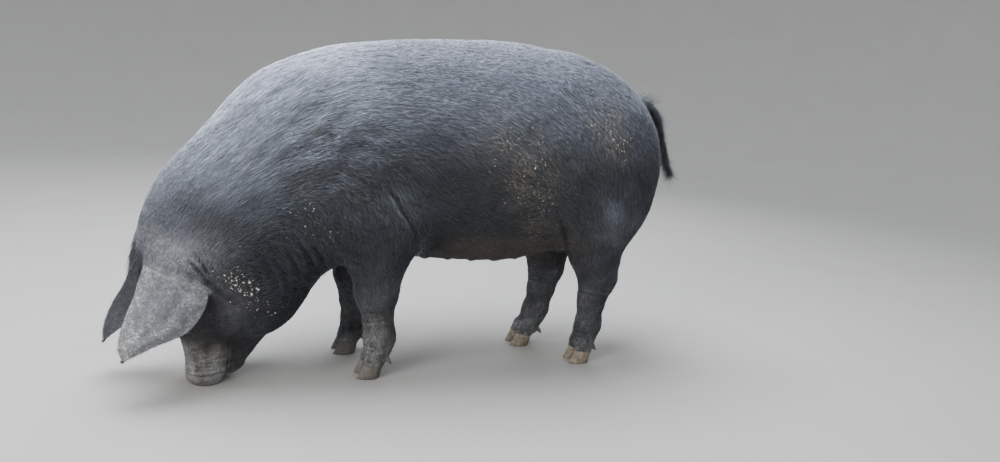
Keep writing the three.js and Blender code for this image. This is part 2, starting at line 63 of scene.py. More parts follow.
# ---- Driving dimensions, in millimetres in the pig's frame --------------------------------------
FORE_STANCE = 100  # from the middle plane to the middle of a forefoot
HIND_STANCE = 88
HOOF = {"long": 68, "wide": 37, "toe_coronet": 44, "heel_coronet": 30, "lean": 0.34, "spread": 22, "splay": 4}
FOOT_BACK = 15  # from the middle of the hooves back to the middle of the foot
DEWCLAW = {"radius": 11, "height": 56, "back": 30, "side": 24, "drop": 26}
SNOUT = {"x": -408, "y": -51, "long": 94, "wide": 118, "thick": 20}
NOSTRIL = {"radius": 11, "slim": 0.78, "side": 25, "ahead": 2, "deep": 16}
TEAT = {"side": 62, "long": 7, "radius": 8}
HEAD_TURN = math.radians(12)
EYE_RADIUS = 13
EAR = {"thick": 7.0, "edge": 3.2, "bulge": 20, "meshed": 9.6}
COAT_DEPTH = {"body": 5.0, "head": 3.0, "leg": 3.0, "ear": 0.6}

SNOUT_LOW, SNOUT_HIGH = (np.array(corner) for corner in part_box("snout"))
SHIFT = (SNOUT_LOW + SNOUT_HIGH) / 2 - np.array([SNOUT["x"], SNOUT["y"], 0]) * MM
SHIFT[2] = 0


def to_row(points):
    return np.asarray(points) * MM + SHIFT


def to_pig(points):
    return (np.asarray(points) - SHIFT) / MM


def length(vectors):
    return np.sqrt(np.einsum("ij,ij->i", vectors, vectors))


def unit(vectors):
    return vectors / np.maximum(length(vectors), 1e-9)[:, None]


def step(value, start, end):
    """0 at start and 1 at end, smooth between them."""
    share = np.clip((value - start) / (end - start), 0, 1)
    return share * share * (3 - 2 * share)


def bell(value, middle, reach):
    """1 at the middle, falling off softly on both sides."""
    return np.exp(-(((value - middle) / reach) ** 2))


def spot(p, middle, reach):
    """1 at a place in side view, falling off softly round it."""
    x, _, z = p.T
    return np.exp(-(((x - middle[0]) / reach[0]) ** 2) - (((z - middle[1]) / reach[1]) ** 2))


def beside(flat, a, b):
    """For places in side view: their share along the line from a to b, and their distance from it."""
    along = b - a
    share = np.clip((flat - a) @ along / (along @ along), 0, 1)
    return share, length(flat - a - share[:, None] * along)


def tube(index):
    """Quads between the rows of a table of vertex numbers, where each row is a ring."""
    after = np.roll(index, -1, axis=1)
    return np.stack([index[:-1], after[:-1], after[1:], index[1:]], axis=-1).reshape(-1, 4)


def copies(faces, count, corners):
    """The faces of one small form, for that many of it, each with its own corners."""
    return ((np.arange(count) * corners)[:, None, None] + faces).reshape(-1, faces.shape[1])


# ---- Masses: the same rounded forms as the solids -----------------------------------------------
def smooth_union(a, b, blend):
    mix = np.maximum(blend - np.abs(a - b), 0) / blend
    return np.minimum(a, b) - mix * mix * (blend / 4)


def smooth_cut(a, b, blend):
    return -smooth_union(-a, -b, blend)


def ellipsoid(at, size, tilt=0, roll=0, blend=80):
    """size holds half its length, width and height. tilt turns it head end down, roll turns it about X."""
    turn = Matrix.Rotation(math.radians(roll), 3, "X") @ Matrix.Rotation(math.radians(-tilt), 3, "Y")
    at, size, turn = np.float32(at), np.float32(size), np.float32(np.array(turn))

    def distance(p):
        scaled = ((p - at) @ turn) / size
        inward = length(scaled)
        return inward * (inward - 1) / np.maximum(length(scaled / size), 1e-6)

    return distance, blend


def limb(start, end, radii, flat=1, blend=40):
    """A round cone from one joint to the next; flat thins it from side to side."""
    squeeze = np.float32([1, 1 / flat, 1])
    start = np.float32(start)
    along = (np.float32(end) - start) * squeeze
    steps = along / (along @ along)

    def distance(p):
        local = (p - start) * squeeze
        share = np.clip(local @ steps, 0, 1)
        return length(local - share[:, None] * along) - (radii[0] + (radii[1] - radii[0]) * share)

    return distance, blend


TRUNK = [
    ellipsoid((376, 0, 644), (461, 290, 327), blend=1),  # barrel
    ellipsoid((108, 0, 641), (276, 232, 295), blend=90),  # ribs
    ellipsoid((641, 0, 692), (261, 232, 241), tilt=-16, blend=110),  # croup
    *[ellipsoid((0, s * 150, 570), (140, 96, 235), tilt=-22, roll=s * 5) for s in (-1, 1)],  # shoulder blades
    *[ellipsoid((700, s * 128, 590), (164, 116, 208), tilt=4, blend=120) for s in (-1, 1)],  # hams
    ellipsoid((-84, 0, 496), (140, 140, 160), tilt=-30),  # brisket
    limb((-70, 0, 665), (-320, -40, 440), (243, 213), flat=0.85, blend=100),  # neck
    limb((-235, 0, 725), (-445, -52, 490), (100, 78), flat=0.9, blend=90),  # crest
    limb((-110, -5, 452), (-250, -40, 292), (118, 92), flat=1.1, blend=70),  # throat
]
HEAD = [
    ellipsoid((-70, 0, 355), (100, 104, 112), tilt=-10),  # skull
    limb((-58, 0, 292), (12, 0, 124), (89, 66), flat=1.1, blend=60),  # face
    limb((4, 0, 140), (-4, 0, 26), (57, 48), flat=1.18, blend=34),  # nose
    limb((108, 0, 198), (72, 0, 46), (104, 35), flat=0.8, blend=50),  # lower jaw
    limb((40, 0, 230), (32, 0, 60), (84, 34), flat=0.92, blend=40),  # muzzle
    *[ellipsoid((18, s * 74, 255), (72, 40, 88), tilt=-14, blend=50) for s in (-1, 1)],  # cheeks
    *[ellipsoid((125, s * 84, 262), (108, 74, 128), tilt=-30, blend=70) for s in (-1, 1)],  # jowls
    *[ellipsoid((-104, s * 56, 300), (30, 32, 40), tilt=-20, blend=36) for s in (-1, 1)],  # brows
]
# Joints of each leg from the body down, each with its radius.
JOINTS = {
    "fore_left": [
        ((62, -150, 480), 112), ((36, -112, 345), 80), ((40, -103, 250), 60),
        ((47, -100, 178), 42), ((56, -100, 110), 43), ((48, -100, 68), 41),
    ],
    "fore_right": [
        ((40, 150, 480), 112), ((14, 112, 345), 80), ((12, 103, 250), 58),
        ((15, 100, 180), 42), ((24, 100, 110), 42), ((14, 100, 68), 41),
    ],
    "hind_left": [
        ((694, -132, 510), 136), ((720, -106, 350), 76), ((742, -94, 276), 60),
        ((733, -88, 200), 42), ((731, -88, 120), 40), ((716, -88, 68), 42),
    ],
    "hind_right": [
        ((650, 132, 500), 145), ((648, 104, 350), 82), ((650, 92, 262), 58),
        ((637, 88, 190), 43), ((624, 88, 118), 41), ((602, 88, 68), 42),
    ],
}
FOOT = {
    "fore_left": (22, -FORE_STANCE), "fore_right": (-12, FORE_STANCE),
    "hind_left": (698, -HIND_STANCE), "hind_right": (566, HIND_STANCE),
}


def hooves_of(leg):
    """Where a foot's two hooves stand, and how far each turns out."""
    x, y = FOOT[leg]
    return [(x, y + s * HOOF["spread"], math.radians(s * HOOF["splay"])) for s in (-1, 1)]


def leg_masses(leg):
    joints = JOINTS[leg]
    made = [
        limb(a, b, (ra, rb), flat=1 if i < 3 else 0.9, blend=26 if i else 50)
        for i, ((a, ra), (b, rb)) in enumerate(zip(joints, joints[1:]))
    ]
    for x, y, _ in hooves_of(leg):
        made.append(ellipsoid((x + 14, y, 50), (30, 18, 38), tilt=-12, blend=16))  # toe
        made.append(ellipsoid((x + 12, y, 41), (35, 19.5, 13), tilt=-12, blend=8))  # coronary band
    return made


TAIL = [(820, 0, 800), (900, 0, 815), (948, -4, 770), (974, -10, 705), (994, -14, 645), (1012, -16, 612)]
TAIL_RADII = [25, 23, 15, 9.5, 8.5, 7]
TEATS = [(x, side * TEAT["side"]) for x in range(110, 560, 72) for side in SIDES.values()]


def spline(points, shares):
    """A smooth curve through the points, centripetal Catmull-Rom, at shares from 0 to 1 along it."""
    points = np.array(points, float)
    points = np.vstack([2 * points[0] - points[1], points, 2 * points[-1] - points[-2]])
    place = np.clip(shares, 0, 1) * (len(points) - 3)
    i = np.minimum(place.astype(int), len(points) - 4)
    w = (place - i)[:, None]
    p0, p1, p2, p3 = (points[i + k] for k in range(4))
    d0, d1, d2 = (np.sqrt(length(b - a))[:, None] for a, b in ((p0, p1), (p1, p2), (p2, p3)))
    t1 = ((p1 - p0) / d0 - (p2 - p0) / (d0 + d1) + (p2 - p1) / d1) * d1
    t2 = ((p2 - p1) / d1 - (p3 - p1) / (d1 + d2) + (p3 - p2) / d2) * d1
    return (
        (2 * w**3 - 3 * w**2 + 1) * p1 + (w**3 - 2 * w**2 + w) * t1
        + (3 * w**2 - 2 * w**3) * p2 + (w**3 - w**2) * t2
    )


def tail_masses():
    shares = np.linspace(0, 1, 15)
    middle = spline(TAIL, shares)
    radii = np.interp(shares, np.linspace(0, 1, len(TAIL_RADII)), TAIL_RADII)
    return [
        limb(middle[i], middle[i + 1], radii[i:i + 2], blend=24 if i < 3 else 4)
        for i in range(len(middle) - 1)
    ]


LIMBS = [mass for leg in LEGS for mass in leg_masses(leg)] + tail_masses()

# ---- The head's own frame: its origin is the middle of the snout disc, on the ground -------------
HEAD_AXES = np.array(Matrix.Rotation(HEAD_TURN, 3, "Z"), np.float32)
HEAD_AT = np.float32([SNOUT["x"], SNOUT["y"], 0])


def to_head(p):
    return (p - HEAD_AT) @ HEAD_AXES


def from_head(h):
    return np.asarray(h) @ HEAD_AXES.T + HEAD_AT


# ---- Ears: thin leaves hung from the poll -------------------------------------------------------
# The left ear's edges in the head's frame, with y measured outwards; drop is how much further the tip hangs.
EAR_FRONT = [
    (-118, 30, 350), (-150, 58, 350), (-184, 80, 268), (-204, 94, 222), (-221, 116, 160), (-216, 134, 134),
]
EAR_REAR = [
    (-56, 62, 318), (-24, 108, 298), (-30, 146, 260), (-71, 154, 198), (-150, 149, 164), (-213, 137, 132),
]
EAR_DROP = {"left": 0, "right": 40}
EAR_ROWS, EAR_COLUMNS = 110, 60


class Ear:
    """The middle surface of one ear, with its thickness, and where its root and tip are."""

    def __init__(self, side):
        self.side = SIDES[side]
        share, across = (a.ravel() for a in np.meshgrid(
            np.linspace(0, 1, EAR_ROWS), np.linspace(-1, 1, EAR_COLUMNS), indexing="ij"))
        front, rear = spline(EAR_FRONT, share), spline(EAR_REAR, share)
        ahead, behind = np.clip(share + 0.02, 0, 1), np.clip(share - 0.02, 0, 1)
        along = spline(EAR_FRONT, ahead) + spline(EAR_REAR, ahead)
        along -= spline(EAR_FRONT, behind) + spline(EAR_REAR, behind)
        out = unit(np.cross(rear - front, along))
        bulge = EAR["bulge"] * np.sin(np.pi * share**0.75) * (1 - across**2)
        bulge += 1.8 * np.sin(across * 9 + share * 5) * np.sin(np.pi * share) ** 2  # long soft ridges
        bulge += 1.6 * np.sin(share * 13 + across) * across**4 * step(share, 0.15, 0.4)  # wavy edges
        creased = bell(share, 0.27, 0.13) * (1 - across**2)  # fine wrinkles near the root
        bulge += 0.4 * creased * np.sin(share * 125 + 1.6 * np.sin(across * 4) + 0.7 * np.sin(across * 11))
        p = front + (rear - front) * ((across + 1) / 2)[:, None] + out * bulge[:, None]
        sag = share**2 * EAR_DROP[side]
        p[:, 0] -= sag * 0.35
        p[:, 2] -= sag
        turn = np.array([1, self.side, 1])
        self.points = from_head(p * turn)
        self.along = unit(along) * turn @ HEAD_AXES.T
        self.out = out * turn @ HEAD_AXES.T
        self.share, self.across = share, across
        self.middle = self.points[int(EAR_ROWS * 0.42) * EAR_COLUMNS + EAR_COLUMNS // 2]
        thin = 1 - 0.6 * share
        self.half = (EAR["edge"] + (EAR["thick"] - EAR["edge"]) * (1 - across**2) * thin) / 2
        self.half += 7 * step(share, 0.22, 0.0)  # the gristle at the root
        self.meshed = np.maximum(self.half, EAR["meshed"] / 2)
        index = np.arange(EAR_ROWS * EAR_COLUMNS).reshape(EAR_ROWS, EAR_COLUMNS)
        quads = np.stack([index[:-1, :-1], index[1:, :-1], index[1:, 1:], index[:-1, 1:]], axis=-1)
        self.quads = quads.reshape(-1, 4)
        self.tree = BVHTree.FromPolygons(self.points.tolist(), self.quads.tolist())

    def near(self, p, reach):
        """Which points are in the box round the leaf, by index."""
        low, high = self.points.min(0) - reach, self.points.max(0) + reach
        return np.flatnonzero((p > low).all(1) & (p < high).all(1))

    def nearest(self, p, reach):
        """The points near the leaf, by index, with the distance of each to the leaf's middle surface and
        the nearest of the leaf's own points."""
        near = self.near(p, reach)
        far = np.full(len(near), reach, np.float32)
        index = np.zeros(len(near), int)
        for i, point in enumerate(p[near].tolist()):
            _, _, face, gap = self.tree.find_nearest(point, reach)
            if face is not None:
                far[i], index[i] = gap, self.quads[face, 0]
        return near, far, index

    def thinned(self, vertices):
        """Draws the ear's skin, meshed thick enough for the grid, in to the ear's own thickness."""
        reach = EAR["meshed"] / 2 + 3
        for n in self.near(vertices, reach):
            place, _, face, gap = self.tree.find_nearest(vertices[n].tolist(), reach)
            if face is None:
                continue
            index = self.quads[face, 0]
            thin = 1 - self.half[index] / self.meshed[index]
            thin *= float(step(self.share[index], 0.1, 0.28) * step(gap - self.meshed[index], 3, 0.5))
            vertices[n] += (np.array(place) - vertices[n]) * thin
        return vertices


EARS = [Ear(side) for side in SIDES]

# ---- Eyes ---------------------------------------------------------------------------------------
# The slit between the lids runs up and back from its inner corner, and the gaze is outwards.
EYE_SLIT = {"half_long": 12.0, "half_wide": 6.6, "lid": 2.6}


class Eye:
    def __init__(self, side):
        s = SIDES[side]
        low, high = (np.array(c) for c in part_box(f"eye_{side}"))
        self.name = f"eye_{side}"
        self.at = to_pig((low + high) / 2)
        gaze = np.array([-20, s * 50, 4.0])
        slit = np.array([0.35, 0, 1.0])
        gaze = gaze / np.linalg.norm(gaze)
        slit = slit - gaze * (slit @ gaze)
        slit = slit / np.linalg.norm(slit)
        self.axes = np.stack([slit, np.cross(gaze, slit), gaze]) @ HEAD_AXES.T

    def local(self, p):
        """Coordinates along the slit, across it and outwards, from the middle of the eyeball."""
        return (p - self.at) @ self.axes.T

    def opening(self, local):
        """How far a point is outside the almond shape of the slit; negative inside it."""
        long, wide = EYE_SLIT["half_long"], EYE_SLIT["half_wide"]
        radius = (long**2 + wide**2) / (2 * wide)
        centre = radius - wide
        return np.maximum(
            np.hypot(local[:, 0], local[:, 1] - centre), np.hypot(local[:, 0], local[:, 1] + centre)
        ) - radius


EYES = [Eye(side) for side in SIDES]


def with_eyes(value, p):
    """Lids over each eyeball, and the slit cut between them."""
    for eye in EYES:
        near = np.flatnonzero(length(p - eye.at) < 40)
        local = eye.local(p[near])
        ball = length(local)
        opening = eye.opening(local)
        here = value[near]
        lids = np.maximum(ball - EYE_RADIUS - EYE_SLIT["lid"], -opening)
        here = smooth_union(here, lids, 7)
        pouch = np.abs(np.hypot(local[:, 0] * 0.8, local[:, 1]) - 15.5)
        here = here + 1.8 * bell(pouch, 0, 2.4)  # a fold round the lids
        well = np.maximum(opening, 1 - local[:, 2])
        value[near] = smooth_cut(here, -well, 1.5)
    return value


# ---- Folds and wrinkles -------------------------------------------------------------------------
# A crease is a groove along a line in side view, alike on both sides. Its points are (x, z), in the head's
# own frame where head is set; lip is how high its edges rise, as a share of its depth.
class Crease:
    def __init__(self, line, depth, width, head=False, lip=0.35):
        self.line = np.array(line, np.float32)
        self.depth, self.width, self.head, self.lip = depth, width, head, lip

    def height(self, p, h):
        q = h if self.head else p
        reach = self.width * 5
        low, high = self.line.min(0) - reach, self.line.max(0) + reach
        flat = q[:, [0, 2]]
        near = np.flatnonzero((flat > low).all(1) & (flat < high).all(1))
        best = np.full(len(near), 1e3, np.float32)
        share = np.zeros(len(near), np.float32)
        count = len(self.line) - 1
        for i, (a, b) in enumerate(zip(self.line, self.line[1:])):
            t, gap = beside(flat[near], a, b)
            closer = gap < best
            best = np.where(closer, gap, best)
            share = np.where(closer, (i + t) / count, share)
        fade = np.sin(np.pi * np.clip(share * 0.9 + 0.05, 0, 1)) ** 0.6
        groove = -bell(best, 0, self.width)
        lip = self.lip * bell(best, 2.2 * self.width, 1.3 * self.width)
        height = np.zeros(len(q), np.float32)
        height[near] = self.depth * fade * (groove + lip) * (1 + 0.3 * waves(p[near], 24, 12))
        return height


CREASES = [
    Crease([(18, 585), (34, 550), (58, 512), (88, 474), (112, 430)], 9, 4.5, lip=0.2),  # behind the elbow
    Crease([(-100, 470), (-92, 430), (-60, 395), (-20, 372)], 6, 10),  # front of the arm
    Crease([(498, 520), (530, 478), (566, 430), (604, 380), (630, 345)], 8, 9),  # flank fold
    Crease([(560, 520), (585, 480), (612, 430)], 4, 10),
    Crease([(-196, 420), (-168, 385), (-150, 345), (-156, 300)], 8, 5),  # throat
    Crease([(-222, 400), (-196, 355), (-184, 310), (-190, 270)], 7, 5),
    Crease([(-248, 372), (-224, 330), (-212, 285), (-218, 240)], 6, 5),
    Crease([(-172, 430), (-142, 392), (-124, 355), (-128, 322)], 6, 5),
    Crease([(-446, 366), (-430, 346), (-413, 326), (-402, 302)], 6, 4),  # behind the ear
    Crease([(-432, 384), (-414, 354), (-402, 328), (-396, 302)], 5, 4.5),
    Crease([(-414, 392), (-397, 358), (-389, 328), (-389, 302)], 2.4, 5),
    Crease([(-400, 308), (-377, 285), (-348, 262), (-305, 232)], 6, 6),  # below the ear
    Crease([(46, 4), (49, 60), (47, 96), (40, 130), (44, 152)], 3.6, 2.2, head=True, lip=0.4),  # mouth
    Crease([(50, 150), (60, 164), (64, 180)], 1.6, 5, head=True),  # corner of the mouth
]
SNOUT_ROLLS = [  # height, depth and width of each groove above the snout disc
    (25, 6.0, 3.6), (38, 3.4, 3.0), (50, 2.6, 3.0), (64, 2.2, 3.2),
    (80, 2.0, 3.6), (99, 1.7, 4.0), (120, 1.4, 4.5),
]
# Wrinkles round the legs: their heights on each leg, and their depths and widths, from the top down.
RINGS = {
    "fore_left": (196, 184, 172, 96, 84), "fore_right": (198, 185, 173, 96, 84),
    "hind_left": (262, 246, 231, 98, 86), "hind_right": (254, 238, 223, 98, 86),
}
RING_FORMS = {
    "fore": [(2.0, 4), (1.6, 3.5), (2.0, 4), (2.2, 4), (1.8, 3.5)],
    "hind": [(2.4, 5), (2.2, 4), (2.0, 4), (2.2, 4), (1.8, 3.5)],
}


def waves(p, size, seed, count=7):
    """A soft seamless noise about -1 to 1 with lumps of about the given size, in millimetres."""
    rng = np.random.default_rng(seed)
    total = np.zeros(len(p), np.float32)
    for _ in range(count):
        turn = unit(rng.normal(size=(1, 3)))[0] * rng.uniform(0.7, 1.5) * math.pi / size
        total += np.sin(p @ np.float32(turn) + rng.uniform(0, 6.3))
    return total / math.sqrt(count)


def leg_at(p):
    """Which leg each point is nearest to, by its foot."""
    feet = np.array([FOOT[leg] for leg in LEGS], np.float32)
    return np.argmin(((p[:, None, :2] - feet) ** 2).sum(-1), axis=1)


def relief(p, h):
    """How far the skin stands out from the rounded masses, in millimetres."""
    x, y, z = p.T
    back, across, up = h.T  # in the head's frame, where back is towards the throat
    height = np.zeros(len(p), np.float32)
    for crease in CREASES:
        height += crease.height(p, h)

    # Slanting folds over the neck and shoulder, along the crest's outline, and over the throat.
    slant = (z - x) * 0.7
    fold = np.sin(slant / 9.5 + 2.2 * waves(p, 90, 3) + 0.8 * waves(p, 30, 4))
    height += 2.6 * spot(p, (-190, 690), (150, 130)) * fold
    throat_fold = np.sin((x * 0.9 + z * 0.35) / 5.5 + 1.5 * waves(p, 60, 5))
    height += 1.1 * spot(p, (-240, 330), (80, 70)) * throat_fold

    # Loose skin elsewhere, and a little unevenness all over.
    belly = step(z, 460, 380) * step(x, 100, 220) * step(x, 640, 540)
    height += belly * 1.6 * waves(p, 34, 6)
    height += 1.3 * waves(p, 70, 7) * step(z, 240, 420) + 0.5 * waves(p, 22, 8)

    # The rolls of skin above the snout disc, deepest at the front, and wrinkles over the bridge.
    front = 0.55 + 0.45 * step(back, 30, -30)
    wobble = 1.6 * waves(p, 38, 9)
    for level, depth, width in SNOUT_ROLLS:
        height -= depth * front * bell(up + wobble, level, width) * step(back, 62, 40)
    bridge = bell(up, 175, 42) * step(back, 0, -40) * step(up, 100, 130)
    height += 0.9 * bridge * np.sin((up + 0.6 * np.abs(across)) / 3.4 + 1.4 * waves(p, 30, 10))

    # Wrinkles round the legs, and a shallow groove between tendon and bone.
    low = np.flatnonzero((z < 300) & (x > LEGS_AHEAD))
    q = p[low]
    which = leg_at(q)
    lift = np.zeros(len(q), np.float32)
    for n, leg in enumerate(LEGS):
        here = which == n
        wobble = 2.6 * waves(q, 40, 20 + n)
        for level, (depth, width) in zip(RINGS[leg], RING_FORMS[leg[:4]]):
            lift -= here * depth * bell(q[:, 2] + wobble, level, width)
        shin = np.interp(q[:, 2], *np.array([(at[2], at[0]) for at, _ in JOINTS[leg][::-1]]).T)
        groove = bell(q[:, 0] - shin, 17, 6) * step(q[:, 2], 70, 100) * step(q[:, 2], 240, 190)
        lift -= here * 2.2 * groove
    height[low] += lift

    # Cleft between the hams, under the tail.
    behind = step(x, 830, 890) * step(z, 300, 420) * step(z, 790, 740)
    height -= 9 * behind * bell(y, 0, 9)
    return height


# ---- The whole skin field -----------------------------------------------------------------------
HEAD_CUT = -270  # the body is meshed behind this x
LEG_CUT = 262  # and above this z
LEGS_AHEAD = -120  # no leg is ahead of this x
BODY_CELL, FINE_CELL = 6.0, 3.0
HEAD_END = HEAD_CUT - 2 * BODY_CELL  # the head is meshed finely ahead of this x
LEGS_END = LEG_CUT - 2 * BODY_CELL  # and the legs below this z
RELIEF_REACH = 24  # how near the surface the folds are worked out


def flesh(p):
    """The rounded masses alone; negative inside."""
    h = to_head(p)
    value = np.full(len(p), 1e4, np.float32)
    for points, masses in ((p, TRUNK), (h, HEAD), (p, LIMBS)):
        for distance, blend in masses:
            value = smooth_union(value, distance(points), blend)
    return value


def is_head(p):
    """1 on the head, 0 behind the line from throat to poll, soft between."""
    throat, poll = np.array([-215, 120]), np.array([-520, 560])
    along = (poll - throat) / np.linalg.norm(poll - throat)
    ahead = -(p[:, 0] - throat[0]) * along[1] + (p[:, 2] - throat[1]) * along[0]
    return step(ahead, -40, 40)


def coat_depth(p):
    """How far the skin lies inside the solids, to leave room for the coat."""
    x, _, z = p.T
    depth = COAT_DEPTH["body"] + (COAT_DEPTH["head"] - COAT_DEPTH["body"]) * is_head(p)
    low = step(z, 420, 220) * step(x, -150, -100)
    depth = depth + (COAT_DEPTH["leg"] - depth) * low
    bare = np.maximum(step(z, 60, 20), 0.8 * step(x, 915, 945))
    return (depth * (1 - bare) + 0.6 * bare).astype(np.float32)


def coronet_height(behind):
    """The height of a hoof's upper edge, which slopes down from toe to heel, so far behind its middle."""
    slope = (HOOF["heel_coronet"] - HOOF["toe_coronet"]) / HOOF["long"]
    return (HOOF["toe_coronet"] + HOOF["heel_coronet"]) / 2 + behind * slope


def snout_disc(h):
    """A flat disc with a rounded rim, on the ground, in the head's frame."""
    rim = 5
    flat = np.hypot(h[:, 0] / (SNOUT["long"] / 2 - 1), h[:, 1] / (SNOUT["wide"] / 2 - 1))
    across = (flat - 1) * (SNOUT["long"] + SNOUT["wide"]) / 4
    up = np.abs(h[:, 2] - 10.5) - 10
    side, top = np.maximum(across + rim, 0), np.maximum(up + rim, 0)
    return np.hypot(side, top) + np.minimum(np.maximum(across + rim, up + rim), 0) - rim


def skin_field(p, detail=True):
    """The skin in the pig's frame, without the ears; negative inside."""
    p = np.float32(p)
    x, y, z = p.T
    h = to_head(p)
    value = flesh(p) + coat_depth(p)
    if detail:
        near = np.flatnonzero(np.abs(value) < RELIEF_REACH)
        value[near] -= relief(p[near], h[near])
        value = with_eyes(value, p)
    chin = np.flatnonzero((x < HEAD_CUT + 60) & (z < 60))
    value[chin] = smooth_cut(value[chin], SNOUT["thick"] / 2 - z[chin], 3)
    value = smooth_union(value, snout_disc(h), 5)
    for side in SIDES.values():
        aside = (h[:, 1] - side * NOSTRIL["side"]) / NOSTRIL["slim"]
        nostril = np.hypot(h[:, 0] + NOSTRIL["ahead"], aside) - NOSTRIL["radius"]
        value = smooth_cut(value, -np.maximum(nostril, h[:, 2] - NOSTRIL["deep"]), 4)
    for at_x, at_y in TEATS:
        near = np.flatnonzero((np.abs(x - at_x) < 40) & (np.abs(y - at_y) < 40) & (z < 460))
        reach = np.hypot(x[near] - at_x, y[near] - at_y)
        value[near] -= TEAT["long"] * np.exp(-((reach / TEAT["radius"]) ** 4)) * step(z[near], 430, 390)
    for at_x, at_y in FOOT.values():
        near = np.flatnonzero((np.hypot(x - at_x - FOOT_BACK, y - at_y) < 95) & (z < 90))
        coronet = coronet_height(x[near] - at_x)
        value[near] += 6 * step(z[near] - coronet, 24, -4)
        value[near] = smooth_cut(value[near], coronet - 3 - z[near], 9)
    return value


# ---- From the field to one mesh -----------------------------------------------------------------
class Grid:
    """The field on a block of grid points, exact near the surface and coarse away from it."""

    COARSE = 4  # fine cells along each coarse one
    BAND = 22  # how near the surface the field is exact
    EAR_REACH = 45

    def __init__(self, low, high, cell, ears=()):
        self.low, self.cell = np.float32(low), cell
        coarse = cell * self.COARSE
        blocks = np.ceil((np.float32(high) - self.low) / coarse).astype(int)
        shape = blocks * self.COARSE + 1
        everywhere = self.points(np.arange(np.prod(blocks + 1)), blocks + 1, coarse)
        value = self.field(everywhere, ears, detail=False).reshape(blocks + 1)
        for axis in range(3):
            value = self.upsample(value, axis)
        near = np.flatnonzero(np.abs(value.ravel()) < self.BAND)
        value.ravel()[near] = self.field(self.points(near, shape, cell), ears)
        self.value = value

    def points(self, index, shape, cell):
        places = np.stack(np.unravel_index(index, shape), axis=1).astype(np.float32)
        return self.low + places * np.float32(cell)

    def field(self, points, ears, detail=True):
        """The skin in the pig's frame, with the ears; negative inside."""
        value = skin_field(points, detail)
        for ear in ears:
            near, gap, index = ear.nearest(points, self.EAR_REACH)
            leaf = gap - ear.meshed[index] + COAT_DEPTH["ear"]
            blend = 3 + 22 * step(ear.share[index], 0.32, 0.08)
            value[near] = smooth_union(value[near], leaf.astype(np.float32), blend.astype(np.float32))
        return value

    def upsample(self, value, axis):
        value = np.moveaxis(value, axis, 0)
        count = (value.shape[0] - 1) * self.COARSE
        made = np.empty((count + 1, *value.shape[1:]), np.float32)
        for k in range(self.COARSE):
            w = k / self.COARSE
            made[k:count:self.COARSE] = value[:-1] * (1 - w) + value[1:] * w
        made[-1] = value[-1]
        return np.ascontiguousarray(np.moveaxis(made, 0, axis))

    def sample(self, points):
        """The field's value at points in the pig's frame."""
        place = np.clip((points - self.low) / self.cell, 0, np.array(self.value.shape) - 1.001)
        index = place.astype(int)
        beyond = (place - index).astype(np.float32)
        value = np.zeros(len(points), np.float32)
        for corner in np.ndindex(2, 2, 2):
            i, j, k = (index + corner).T
            u, v, w = (beyond[:, a] if corner[a] else 1 - beyond[:, a] for a in range(3))
            value += self.value[i, j, k] * u * v * w
        return value


def gathered(quads, values, count):
    """For each of that many vertices, the sum of the values of the quads round it."""
    sums = [np.bincount(quads.ravel(), np.repeat(values[:, a], 4), minlength=count) for a in range(3)]
    return np.stack(sums, axis=1)


def surface_net(grid, inside_zone):
    """One vertex in each crossed cell, one quad round each crossed edge whose two ends are in the zone."""
    value = grid.value
    found, cells, flips = [], [], []
    for axis in range(3):
        ahead, u, v = (np.eye(3, dtype=int)[(axis + k) % 3] for k in range(3))
        ijk = np.stack(np.nonzero(np.diff(value < 0, axis=axis)), axis=1)
        start = grid.low + ijk * grid.cell
        ijk = ijk[inside_zone(start) & inside_zone(start + ahead * grid.cell)]
        va, vb = value[tuple(ijk.T)], value[tuple((ijk + ahead).T)]
        found.append(grid.low + (ijk + ahead * (va / (va - vb))[:, None]) * grid.cell)
        around = np.stack([ijk - u - v, ijk - v, ijk, ijk - u], axis=1).reshape(-1, 3)
        cells.append(np.ravel_multi_index(tuple(around.T), np.array(value.shape) - 1).reshape(-1, 4))
        flips.append(va > 0)
    found, cells, flips = np.concatenate(found), np.concatenate(cells), np.concatenate(flips)
    names, quads = np.unique(cells.ravel(), return_inverse=True)
    vertices = gathered(quads, found, len(names)) / np.bincount(quads, minlength=len(names))[:, None]
    quads = quads.reshape(-1, 4)
    quads[flips] = quads[flips][:, ::-1]
    return vertices, quads


def boundary_loops(quads):
    """The open edges of a mesh, as closed loops of vertices."""
    edges = np.concatenate([quads[:, [k, (k + 1) % 4]] for k in range(4)])
    _, first, count = np.unique(np.sort(edges, axis=1), axis=0, return_index=True, return_counts=True)
    after = {int(a): int(b) for a, b in edges[first[count == 1]]}
    loops = []
    while after:
        loop = [next(iter(after))]
        while loop[-1] in after:
            loop.append(after.pop(loop[-1]))
        loops.append(np.array(loop[:-1]))
    return loops


